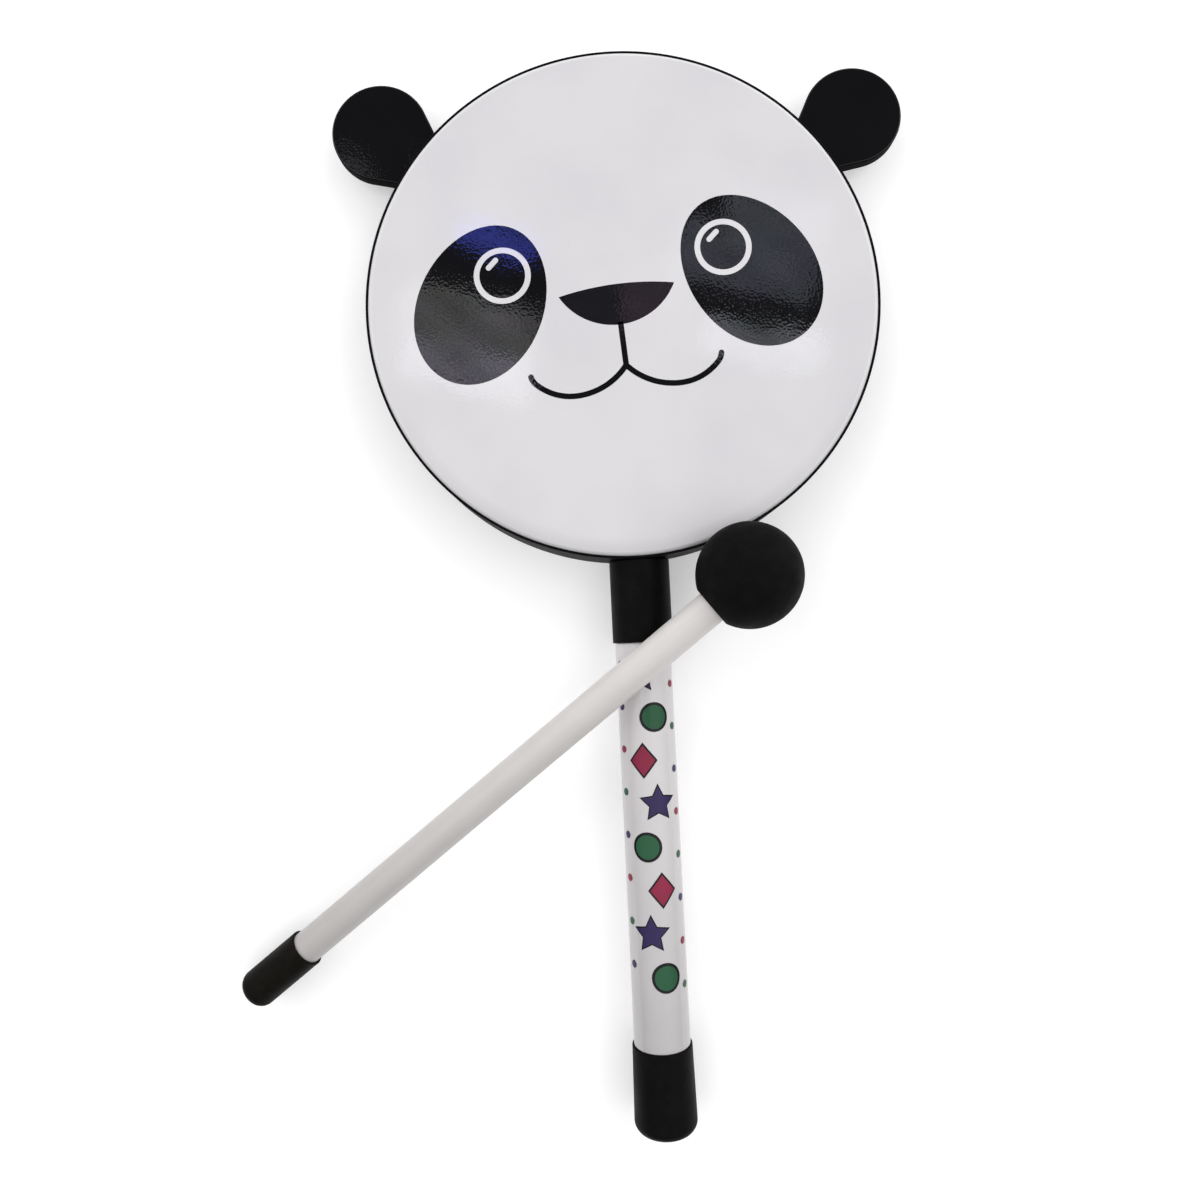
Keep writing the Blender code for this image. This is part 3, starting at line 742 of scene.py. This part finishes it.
def straight_wood():
    """The plug's wood, its grain along the handle."""
    material, tree, place = finish("turned plug wood")
    fibre = grain(tree, stretched(tree, place, PLUG_FIBRES), 1.0, detail=5.0)
    tone = tint(tree, fibre, WOOD_TONES, WOOD_DEEP, WOOD_PALE)
    roughness = span(tree, fibre, NOISE_REACH, PLUG_ROUGH)
    return coated(material, tone, roughness, relief(tree, fibre, PLUG_FIBRE_DEPTH))


def tube_finish():
    """White plastic with faint draw lines along the tube."""
    material, tree, place = finish("white tube plastic")
    lines = grain(tree, stretched(tree, place, TUBE_LINES), 1.0, detail=3.0)
    tone = tint(tree, lines, TUBE_TONES, TUBE_SHADE, TUBE_WHITE)
    roughness = span(tree, lines, NOISE_REACH, TUBE_ROUGH)
    return coated(material, tone, roughness, relief(tree, lines, TUBE_LINE_DEPTH))


for node, material in (("handle_plug", straight_wood()), ("handle_tube", tube_finish())):
    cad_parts[node].data.materials.clear()
    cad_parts[node].data.materials.append(material)

# Collar: a moulded black rubber cup pushed up the tube, its end hollowed to sit against the round rim.
# The shoulder is rounded, and the lip at its mouth is soft.
ROD_STEPS = 96
RUBBER_BORE = 0.0108
COLLAR_SHOULDER = 0.0013
COLLAR_SHOULDER_STEPS = 10
COLLAR_FLOOR = 0.002
LIP_ROUND = 0.0004
LIP_STEPS = 5
RIM_CUTTER_DEPTH = 0.1
RUBBER_BLACK = (0.0030, 0.0030, 0.0029)
RUBBER_DUSTY = (0.0050, 0.0049, 0.0047)
RUBBER_DUST = 240.0
RUBBER_DUST_TONES = (0.42, 0.78)
RUBBER_HANDLING = 75.0
RUBBER_ROUGH = (0.41, 0.56)
RUBBER_SHINE = 0.045
RUBBER_SWELLS = 320.0
RUBBER_SWELL_DEPTH = 0.00003
RUBBER_GRAIN = 2600.0
RUBBER_GRAIN_DEPTH = 0.000022


def rubber_finish(name, deep, dusty):
    """Moulded rubber: a fine matt grain, dusty patches, and a sheen that wears in and out."""
    material, tree, place = finish(name, RUBBER_SHINE)
    tone = tint(tree, grain(tree, place, RUBBER_DUST, detail=6.0), RUBBER_DUST_TONES, deep, dusty)
    sheen = span(tree, grain(tree, place, RUBBER_HANDLING, detail=3.0), NOISE_REACH, RUBBER_ROUGH)
    swells = relief(tree, grain(tree, place, RUBBER_SWELLS), RUBBER_SWELL_DEPTH)
    pores = relief(tree, grain(tree, place, RUBBER_GRAIN), RUBBER_GRAIN_DEPTH, swells)
    return coated(material, tone, sheen, pores)


rubber = rubber_finish("black handle rubber", RUBBER_BLACK, RUBBER_DUSTY)
collar_low, collar_high, collar_radius = round_node("handle_collar")
collar_mouth, collar_top = -collar_low.y, -collar_high.y
collar_inside = rim_seat - drum_axis.y + COLLAR_FLOOR
collar_outline = [(0.0, collar_inside), (RUBBER_BORE, collar_inside), (RUBBER_BORE, collar_mouth)]
collar_outline += far_corner(collar_radius, collar_mouth, LIP_ROUND, LIP_STEPS)
collar_outline += near_corner(collar_radius, collar_top, COLLAR_SHOULDER, COLLAR_SHOULDER_STEPS)
collar_outline += [(0.0, collar_top)]
collar = spun("handle_collar_rubber", collar_outline, handle_foot, DOWN_HANDLE, ACROSS, ROD_STEPS)
bpy.ops.object.select_all(action="DESELECT")
bpy.ops.mesh.primitive_cylinder_add(
    vertices=HOOP_STEPS, radius=rim_seat, depth=RIM_CUTTER_DEPTH, location=drum_axis
)
cut_out(collar, bpy.context.object)
smoothed(collar)
collar.data.materials.append(rubber)
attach(collar, "drum")
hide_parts("handle_collar")

# Sleeve: a white film label wrapped round the tube, its long edges overlapping underneath.
# The print on it is a scatter of coloured stars, dots and diamonds with inked outlines, all round the tube.
SLEEVE_THICKNESS = 0.0002
SLEEVE_LAP = math.radians(15.0)
SLEEVE_LAP_EDGE = math.radians(3.75)
SLEEVE_LAP_RISE = 0.00006
SLEEVE_WHITE = (0.668, 0.646, 0.654)
SLEEVE_SHADE = (0.638, 0.616, 0.624)
# Painted shade: the sleeve is darkened by this factor towards the end cap.
SLEEVE_FAR_SHADE = 0.69
SLEEVE_WAVE_DEPTH = 0.000008
MOTIF_PITCH = 0.0164
MOTIF_SWAY = math.radians(13.0)
MOTIF_START = 0.012
MOTIF_STOP = 0.014
STAR_POINTS = 5
STAR_RADIUS = 0.0076
STAR_WAIST = 0.5
DOT_RADIUS = 0.0057
DOT_STEPS = 28
DIAMOND_RADIUS = 0.0069
DIAMOND_WIDTH = 0.8
SPECK_RADIUS = 0.0014
SPECK_SIDE = math.radians(59.0)
SPECK_DOWN = MOTIF_PITCH / 4
INK_LINE = 0.0011
PRINT_LIFT = 0.00005
PRINT_CUTS = 5
PRINT_COLOURS = {
    "purple": (0.030, 0.019, 0.085),
    "crimson": (0.25, 0.016, 0.052),
    "green": (0.018, 0.095, 0.042),
}
PRINT_DEEPER = 0.6
PRINT_SHINE = 0.2


def lap_rise(from_below):
    """How far the overlapping edge stands up, at an angle from the tube's underside."""
    inside = min(from_below, SLEEVE_LAP - from_below) / SLEEVE_LAP_EDGE
    return SLEEVE_LAP_RISE * max(0.0, min(1.0, inside))


def reach_along(tree, place, axis):
    """How far a place or a direction reaches along an axis."""
    return wire(tree, "VectorMath", {0: place, 1: axis}, operation="DOT_PRODUCT").outputs["Value"]


def shaded_along(material, axis, ends, far_shade):
    """Painted shade: darkens a finish along an axis, from its lit end to its far, shaded end."""
    tree = material.node_tree
    reach = reach_along(tree, wire(tree, "TexCoord").outputs["Object"], axis)
    return darkened(material, span(tree, reach, ends, (1.0, far_shade)))


def star_outline(radius):
    """A star, its points and its waist in turn."""
    count = 2 * STAR_POINTS
    spokes = [(radius * (STAR_WAIST if i % 2 else 1.0), math.tau * i / count) for i in range(count)]
    return [(reach * math.sin(angle), reach * math.cos(angle)) for reach, angle in spokes]


def dot_outline(radius):
    """A round dot."""
    return arc((0.0, 0.0), radius, 0.0, 360.0, DOT_STEPS)[:-1]


def diamond_outline(radius):
    """A diamond, a little taller than wide."""
    return [(0.0, radius), (-radius * DIAMOND_WIDTH, 0.0), (0.0, -radius), (radius * DIAMOND_WIDTH, 0.0)]


def label_print(name, marks, lift, material):
    """One colour of the print: marks as (outline, turn round the tube, distance down the handle)."""
    shapes = []
    for outline, turn, down in marks:
        shape = filled(name, [Vector((x, y, 0.0)) for x, y in outline])
        bpy.ops.mesh.poke()
        bpy.ops.mesh.subdivide(number_cuts=PRINT_CUTS)
        bpy.ops.object.mode_set(mode="OBJECT")
        for vertex in shape.data.vertices:
            angle = turn + vertex.co.x / sleeve_radius
            out = sleeve_radius + lap_rise(math.pi - angle) + lift
            along = vertex.co.y - down
            vertex.co = handle_foot + Vector((math.sin(angle) * out, along, math.cos(angle) * out))
        shapes.append(shape)
    piece = shapes[0]
    chosen(piece)
    for shape in shapes:
        shape.select_set(True)
    bpy.ops.object.join()
    piece.name = name
    thick = piece.modifiers.new("Ink", "SOLIDIFY")
    thick.thickness = lift
    thick.offset = -1.0
    bpy.ops.object.modifier_apply(modifier=thick.name)
    bpy.ops.object.mode_set(mode="EDIT")
    closed_up()
    piece.data.materials.append(material)
    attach(piece, "drum")


sleeve_low, sleeve_high, sleeve_radius = round_node("handle_sleeve")
sleeve_inside = sleeve_radius - SLEEVE_THICKNESS
sleeve_top, sleeve_end = -sleeve_high.y, -sleeve_low.y
sleeve_outline = [(sleeve_radius, sleeve_top), (sleeve_radius, sleeve_end)]
sleeve_outline += [(sleeve_inside, sleeve_end), (sleeve_inside, sleeve_top), (sleeve_radius, sleeve_top)]
sleeve = spun("handle_sleeve_film", sleeve_outline, handle_foot, DOWN_HANDLE, ACROSS, ROD_STEPS)
for vertex in sleeve.data.vertices:
    out = vertex.co - handle_foot
    out.y = 0.0
    if out.length > sleeve_radius - WELD:
        vertex.co += out.normalized() * lap_rise(math.atan2(out.x, -out.z))
sleeve_film = film_finish("white sleeve film", SLEEVE_WHITE, SLEEVE_SHADE, SLEEVE_WAVE_DEPTH)
# The sleeve film carries painted shade, darker towards the end cap.
sleeve.data.materials.append(shaded_along(sleeve_film, DOWN_HANDLE, (sleeve_top, sleeve_end), SLEEVE_FAR_SHADE))
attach(sleeve, "drum")
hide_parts("handle_sleeve")
motifs = [(star_outline, STAR_RADIUS), (dot_outline, DOT_RADIUS), (diamond_outline, DIAMOND_RADIUS)]
colour_names = list(PRINT_COLOURS)
coloured = {colour: [] for colour in colour_names}
outlined = []
rows = int((sleeve_end - sleeve_top - MOTIF_START - MOTIF_STOP) / MOTIF_PITCH) + 1
for row in range(rows):
    down = sleeve_top + MOTIF_START + row * MOTIF_PITCH
    for half in (0, 1):
        shape, size = motifs[(row + half) % len(motifs)]
        colour = colour_names[(row * 2 + half) % len(colour_names)]
        turn = math.pi * half + MOTIF_SWAY * (1 if row % 2 else -1)
        outlined.append((shape(size), turn, down))
        coloured[colour].append((shape(size - INK_LINE), turn, down))
        for edge in (-1, 1):
            colour = colour_names[(row + half + edge) % len(colour_names)]
            turn = math.pi * half + edge * SPECK_SIDE
            coloured[colour].append((dot_outline(SPECK_RADIUS), turn, down + edge * SPECK_DOWN))
line_ink = film_finish("sleeve line ink", INK_SOFT, INK_BLACK, SLEEVE_WAVE_DEPTH, PRINT_SHINE)
label_print("sleeve_print_outlines", outlined, PRINT_LIFT, line_ink)
for colour, marks in coloured.items():
    pale = PRINT_COLOURS[colour]
    deep = tuple(value * PRINT_DEEPER for value in pale)
    colour_ink = film_finish(colour + " sleeve ink", pale, deep, SLEEVE_WAVE_DEPTH, PRINT_SHINE)
    label_print("sleeve_print_" + colour, marks, 2 * PRINT_LIFT, colour_ink)

# End cap: the same rubber, a deeper cup that widens a little to its closed, rounded end.
# It is pushed on over the tube's end and the sleeve's edge.
END_CAP_MOUTH_RADIUS = 0.0117
END_CAP_ROUND = 0.0042
END_CAP_FLOOR = 0.004
CUP_ROUND_STEPS = 16
cap_low, cap_high, cap_radius = round_node("handle_end_cap")
cap_mouth, cap_end = -cap_high.y, -cap_low.y
cap_inside = cap_end - END_CAP_FLOOR
cap_outline = [(0.0, cap_end)]
cap_outline += far_corner(cap_radius, cap_end, END_CAP_ROUND, CUP_ROUND_STEPS)
cap_outline += near_corner(END_CAP_MOUTH_RADIUS, cap_mouth, LIP_ROUND, LIP_STEPS)
cap_outline += [(RUBBER_BORE, cap_mouth), (RUBBER_BORE, cap_inside), (0.0, cap_inside)]
end_cap = spun("handle_end_cap_rubber", cap_outline, handle_foot, DOWN_HANDLE, ACROSS, ROD_STEPS)
end_cap.data.materials.append(rubber)
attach(end_cap, "drum")
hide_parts("handle_end_cap")

# Mallet stick: a length of white plastic tube, satin, with faint draw lines and grey handling marks.
# Its ends are pushed into the ball and into the tail cap.
STICK_WALL = 0.0015
STICK_EDGE = 0.0003
STICK_WHITE = (0.715, 0.691, 0.671)
STICK_SHADE = (0.688, 0.663, 0.643)
STICK_TONES = (0.14, 0.3)
# Painted shade: the stick is darkened by this factor towards the tail.
STICK_TAIL_SHADE = 0.56
STICK_ROUGH = (0.34, 0.48)
STICK_LINES = (14.0, 500.0, 500.0)
STICK_LINE_DEPTH = 0.000012
STICK_MARKS = 55.0
stick_middle, mallet_axis, stick_along, stick_away = node_axis("mallet_stick")
if mallet_axis.x < 0:
    mallet_axis, stick_along = -mallet_axis, -stick_along
mallet_side = mallet_axis.cross(UP).normalized()
stick_radius = stick_away.max()
stick_bore = stick_radius - STICK_WALL
stick_start, stick_end = stick_along.min(), stick_along.max()


def stick_finish():
    """Satin white plastic, its draw lines along the stick, with painted shade darkening it towards the
    tail.
    """
    material, tree, place = finish("white stick plastic")
    straight = mallet_axis.to_track_quat("X", "Z").inverted().to_euler()
    aligned = wire(tree, "Mapping", {"Vector": place, "Rotation": straight}).outputs["Vector"]
    lines = grain(tree, stretched(tree, aligned, STICK_LINES), 1.0, detail=3.0)
    marks = grain(tree, aligned, STICK_MARKS, detail=5.0)
    tone = tint(tree, calc(tree, "MULTIPLY", lines, marks), STICK_TONES, STICK_SHADE, STICK_WHITE)
    roughness = span(tree, marks, NOISE_REACH, STICK_ROUGH)
    coated(material, tone, roughness, relief(tree, lines, STICK_LINE_DEPTH))
    middle = stick_middle.dot(mallet_axis)
    # Painted shade: darker from the ball end to the tail.
    return shaded_along(material, mallet_axis, (middle + stick_end, middle + stick_start), STICK_TAIL_SHADE)


stick_outline = [(stick_bore, stick_start), (stick_radius - STICK_EDGE, stick_start)]
stick_outline += [(stick_radius, stick_start + STICK_EDGE), (stick_radius, stick_end - STICK_EDGE)]
stick_outline += [(stick_radius - STICK_EDGE, stick_end), (stick_bore, stick_end)]
stick_outline += stick_outline[:1]
stick = spun("mallet_stick_plastic", stick_outline, stick_middle, mallet_axis, mallet_side, ROD_STEPS)
stick.data.materials.append(stick_finish())
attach(stick, "mallet")
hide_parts("mallet_stick")

# Mallet ball: solid matt black rubber, moulded, with a small flat round the hole that takes the stick.
# Its skin is finely pitted and hardly shines.
BALL_FLAT_RADIUS = 0.0082
BALL_FLAT_EDGE = 0.0005
STICK_CLEARANCE = 0.0003
BALL_STEPS = 128
BALL_ROUND_STEPS = 72
BALL_BLACK = (0.0034, 0.0032, 0.0032)
BALL_DUSTY = (0.0044, 0.0042, 0.0042)
BALL_DUST = 180.0
BALL_DUST_TONES = (0.4, 0.75)
BALL_ROUGH = (0.78, 0.64)
BALL_SHINE = 0.06
BALL_PITS = 1500.0
BALL_PIT_DEPTH = 0.00003
BALL_GRAIN = 900.0
BALL_GRAIN_DEPTH = 0.000015


def ball_finish():
    """Matt rubber with a pitted skin."""
    material, tree, place = finish("matt ball rubber", BALL_SHINE)
    dust = grain(tree, place, BALL_DUST, detail=6.0)
    tone = tint(tree, dust, BALL_DUST_TONES, BALL_BLACK, BALL_DUSTY)
    pits = wire(tree, "TexVoronoi", {"Vector": place, "Scale": BALL_PITS}).outputs["Distance"]
    soft = relief(tree, grain(tree, place, BALL_GRAIN, detail=3.0), BALL_GRAIN_DEPTH)
    roughness = span(tree, dust, NOISE_REACH, BALL_ROUGH)
    return coated(material, tone, roughness, relief(tree, pits, BALL_PIT_DEPTH, soft))


ball_along = about_axis(node_points("mallet_ball"), stick_middle, mallet_axis)[0]
ball_top, ball_flat = ball_along.max(), ball_along.min()
ball_height = ball_top - ball_flat
ball_radius = (ball_height**2 + BALL_FLAT_RADIUS**2) / (2 * ball_height)
flat_angle = -math.degrees(math.acos(BALL_FLAT_RADIUS / ball_radius))
mallet_bore = stick_radius + STICK_CLEARANCE
ball_outline = [(0.0, ball_top)]
ball_outline += arc((0.0, ball_top - ball_radius), ball_radius, 90.0, flat_angle, BALL_ROUND_STEPS)[1:]
ball_outline += [(BALL_FLAT_RADIUS - BALL_FLAT_EDGE, ball_flat), (mallet_bore, ball_flat)]
ball_outline += [(mallet_bore, stick_end), (0.0, stick_end)]
ball = spun("mallet_ball_rubber", ball_outline, stick_middle, mallet_axis, mallet_side, BALL_STEPS)
ball.data.materials.append(ball_finish())
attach(ball, "mallet")
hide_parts("mallet_ball")

# Tail cap: a black rubber cup pushed over the stick's tail, its closed end well rounded.
# The hand rubs it, so it is a little browner than the handle's rubber.
TAIL_CAP_ROUND = 0.004
TAIL_CAP_FLOOR = 0.003
TAIL_BLACK = (0.0058, 0.0047, 0.0036)
TAIL_DUSTY = (0.0088, 0.0074, 0.0058)
tail_along, tail_away = about_axis(node_points("mallet_tail_cap"), stick_middle, mallet_axis)
tail_end, tail_mouth, tail_radius = tail_along.min(), tail_along.max(), tail_away.max()
tail_inside = tail_end + TAIL_CAP_FLOOR
tail_outline = [(0.0, tail_inside), (mallet_bore, tail_inside), (mallet_bore, tail_mouth)]
tail_outline += far_corner(tail_radius, tail_mouth, LIP_ROUND, LIP_STEPS)
tail_outline += near_corner(tail_radius, tail_end, TAIL_CAP_ROUND, CUP_ROUND_STEPS)
tail_outline += [(0.0, tail_end)]
tail_cap = spun("mallet_tail_cap_rubber", tail_outline, stick_middle, mallet_axis, mallet_side, ROD_STEPS)
tail_cap.data.materials.append(rubber_finish("black tail rubber", TAIL_BLACK, TAIL_DUSTY))
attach(tail_cap, "mallet")
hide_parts("mallet_tail_cap")

# Floor: a plain pale sheet that the drum lies on, wide enough to fill every view.
# It is matt paper on a light table, lit a little from below, with only a trace of tone in it.
FLOOR_SIZE = 12.0
FLOOR_LEVEL = -0.0002
FLOOR_WHITE = (0.73, 0.73, 0.73)
FLOOR_SHADE = (0.71, 0.71, 0.71)
FLOOR_CLOUDS = 6.0
FLOOR_ROUGH = 0.95
FLOOR_SHINE = 0.1
FLOOR_GLOW = 0.37


def paper_finish():
    """Matt paper, lit a little from below."""
    material, tree, place = finish("pale paper", FLOOR_SHINE)
    shader = tree.nodes["Principled BSDF"]
    clouds = grain(tree, place, FLOOR_CLOUDS, detail=4.0)
    tree.links.new(tint(tree, clouds, NOISE_REACH, FLOOR_SHADE, FLOOR_WHITE), shader.inputs["Base Color"])
    shader.inputs["Roughness"].default_value = FLOOR_ROUGH
    shader.inputs["Emission Strength"].default_value = FLOOR_GLOW
    return material


bpy.ops.object.select_all(action="DESELECT")
bpy.ops.mesh.primitive_plane_add(size=FLOOR_SIZE, location=(0.0, 0.0, FLOOR_LEVEL))
floor = bpy.context.object
floor.name = "paper_floor"
floor.data.materials.append(paper_finish())

# Light: a tent of soft white light, brightest beyond the head, with a dark hole where the face mirrors it.
# Uneven cards in the hole show as the dull grey and blue reflections in the glossy black film.
# Each card is given as the spot of the face that mirrors it, its size and turn there, and its colour.
TENT_BRIGHT = 1.77
TENT_COLOUR = (1.0, 0.995, 1.0, 1.0)
TENT_LEAN = Vector((0.18, 0.78, 0.0))
TENT_LOW = 0.3
TENT_LOW_BAND = (0.2, 0.75)
BACKDROP_BRIGHT = 1.0
HOLE_TOWARDS = Vector((0.035, 0.363, 0.932))
HOLE_DIM = 0.07
HOLE_EDGE = math.cos(math.radians(29.0))
HOLE_FULL = math.cos(math.radians(22.0))
CAMERA_OVER_DRUM = Vector((-0.01146, -0.12933, 0.35671))
CARD_HEIGHT = 0.9
CARD_SMEARS = 120.0
CARD_SMEAR_LENGTH = 2.2
CARD_SMEAR_REACH = (0.35, 0.65)
CARD_SMEAR_BRIGHT = (0.62, 1.38)
CARD_TINGE = 0.55
ROUND_CARD = "left_blue"
CARDS = {
    "left_grey": ((-0.0595, -0.0047), (0.056, 0.020), -18.0, (1.33, 1.31, 1.31)),
    "left_low": ((-0.0614, -0.0232), (0.052, 0.018), -18.0, (2.10, 2.00, 2.36)),
    "left_blue": ((-0.0470, 0.0262), (0.036, 0.013), -16.0, (0.36, 0.48, 3.2)),
    "right_grey": ((0.0490, 0.0135), (0.056, 0.025), -14.0, (0.79, 0.83, 1.05)),
    "right_top": ((0.0618, 0.0315), (0.040, 0.016), -14.0, (0.81, 0.86, 1.02)),
    "right_low": ((0.0537, -0.0202), (0.048, 0.016), -14.0, (1.68, 1.74, 1.92)),
    "nose_warm": ((0.0105, -0.0010), (0.022, 0.024), 0.0, (0.54, 0.38, 0.52)),
    "nose_left": ((-0.0125, -0.0010), (0.022, 0.024), 0.0, (0.13, 0.13, 0.19)),
    "ear_low": ((-0.1035, 0.0620), (0.016, 0.005), -40.0, (0.75, 0.72, 0.86)),
    "ear_rim": ((-0.0778, 0.0614), (0.005, 0.003), 45.0, (0.60, 0.58, 0.66)),
}


def smear_card(light, size):
    """Makes a card uneven in brightness and a little in colour, in smears that lie along it."""
    light.use_nodes = True
    tree = light.node_tree
    spot = wire(tree, "NewGeometry").outputs["Parametric"]
    stretch = Vector((size[0] / CARD_SMEAR_LENGTH, size[1], 0.0))
    along = wire(tree, "VectorMath", {0: spot, 1: stretch}, operation="MULTIPLY").outputs[0]
    smears = wire(tree, "TexNoise", {"Vector": along, "Scale": CARD_SMEARS, "Detail": 3.0})
    tinge = dimmed(tree, smears.outputs["Color"], CARD_TINGE)
    plain = Vector((1.0, 1.0, 1.0)) * (1.0 - CARD_TINGE / 2)
    colour = wire(tree, "VectorMath", {0: tinge, 1: plain}, operation="ADD").outputs[0]
    strength = span(tree, smears.outputs["Fac"], CARD_SMEAR_REACH, CARD_SMEAR_BRIGHT)
    tree.links.new(colour, tree.nodes["Emission"].inputs["Color"])
    tree.links.new(strength, tree.nodes["Emission"].inputs["Strength"])


tent = bpy.data.worlds.new("studio tent")
bpy.context.scene.world = tent
tent.use_nodes = True
sky = tent.node_tree
way = wire(sky, "TexCoord").outputs["Generated"]
holed = span(sky, reach_along(sky, way, HOLE_TOWARDS), (HOLE_EDGE, HOLE_FULL), (TENT_BRIGHT, HOLE_DIM))
leaning = span(sky, reach_along(sky, way, TENT_LEAN), (-1.0, 1.0), (0.0, 2.0))
rising = span(sky, wire(sky, "SeparateXYZ", {"Vector": way}).outputs["Z"], TENT_LOW_BAND, (TENT_LOW, 1.0))
brightness = calc(sky, "MULTIPLY", calc(sky, "MULTIPLY", holed, leaning), rising)
seen = wire(sky, "LightPath").outputs["Is Camera Ray"]
tent_light = sky.nodes["Background"].inputs
tent_light["Color"].default_value = TENT_COLOUR
sky.links.new(span(sky, seen, (0.0, 1.0), (brightness, BACKDROP_BRIGHT)), tent_light["Strength"])
camera_place = drum_axis + CAMERA_OVER_DRUM
spread = (CARD_HEIGHT + CAMERA_OVER_DRUM.z - 2 * face_height) / (CAMERA_OVER_DRUM.z - face_height)
for card_name, (place, size, turn, colour) in CARDS.items():
    light = bpy.data.lights.new(card_name + "_card", "AREA")
    light.shape = "ELLIPSE" if card_name == ROUND_CARD else "RECTANGLE"
    light.size = size[0] * spread
    light.size_y = size[1] * spread
    light.energy = math.pi * light.size * light.size_y
    light.color = colour
    smear_card(light, size)
    card = bpy.data.objects.new(card_name + "_card", light)
    over = Vector((place[0] - CAMERA_OVER_DRUM.x, place[1] - CAMERA_OVER_DRUM.y, 0.0)) * spread
    card.location = Vector((camera_place.x, camera_place.y, CARD_HEIGHT)) + over
    card.rotation_euler = (0.0, 0.0, math.radians(turn))
    card.visible_camera = False
    bpy.context.scene.collection.objects.link(card)

# Camera: held over the handle, close above the drum, nearly straight down.
# Its place, turn and lens are those that make the head, handle and mallet lie as in the photograph.
CAMERA_LENS = 26.0
CAMERA_SENSOR = 36.0
CAMERA_NEAR = 0.01
CAMERA_TURN = (2.382, 0.455, -2.694)
camera_lens = bpy.data.cameras.new("photo camera")
camera_lens.lens = CAMERA_LENS
camera_lens.sensor_width = CAMERA_SENSOR
camera_lens.clip_start = CAMERA_NEAR
camera = bpy.data.objects.new("photo_camera", camera_lens)
camera.location = camera_place
camera.rotation_mode = "ZYX"
camera.rotation_euler = [math.radians(angle) for angle in CAMERA_TURN]
bpy.context.scene.collection.objects.link(camera)
bpy.context.scene.camera = camera
bpy.context.scene.view_settings.view_transform = "Standard"
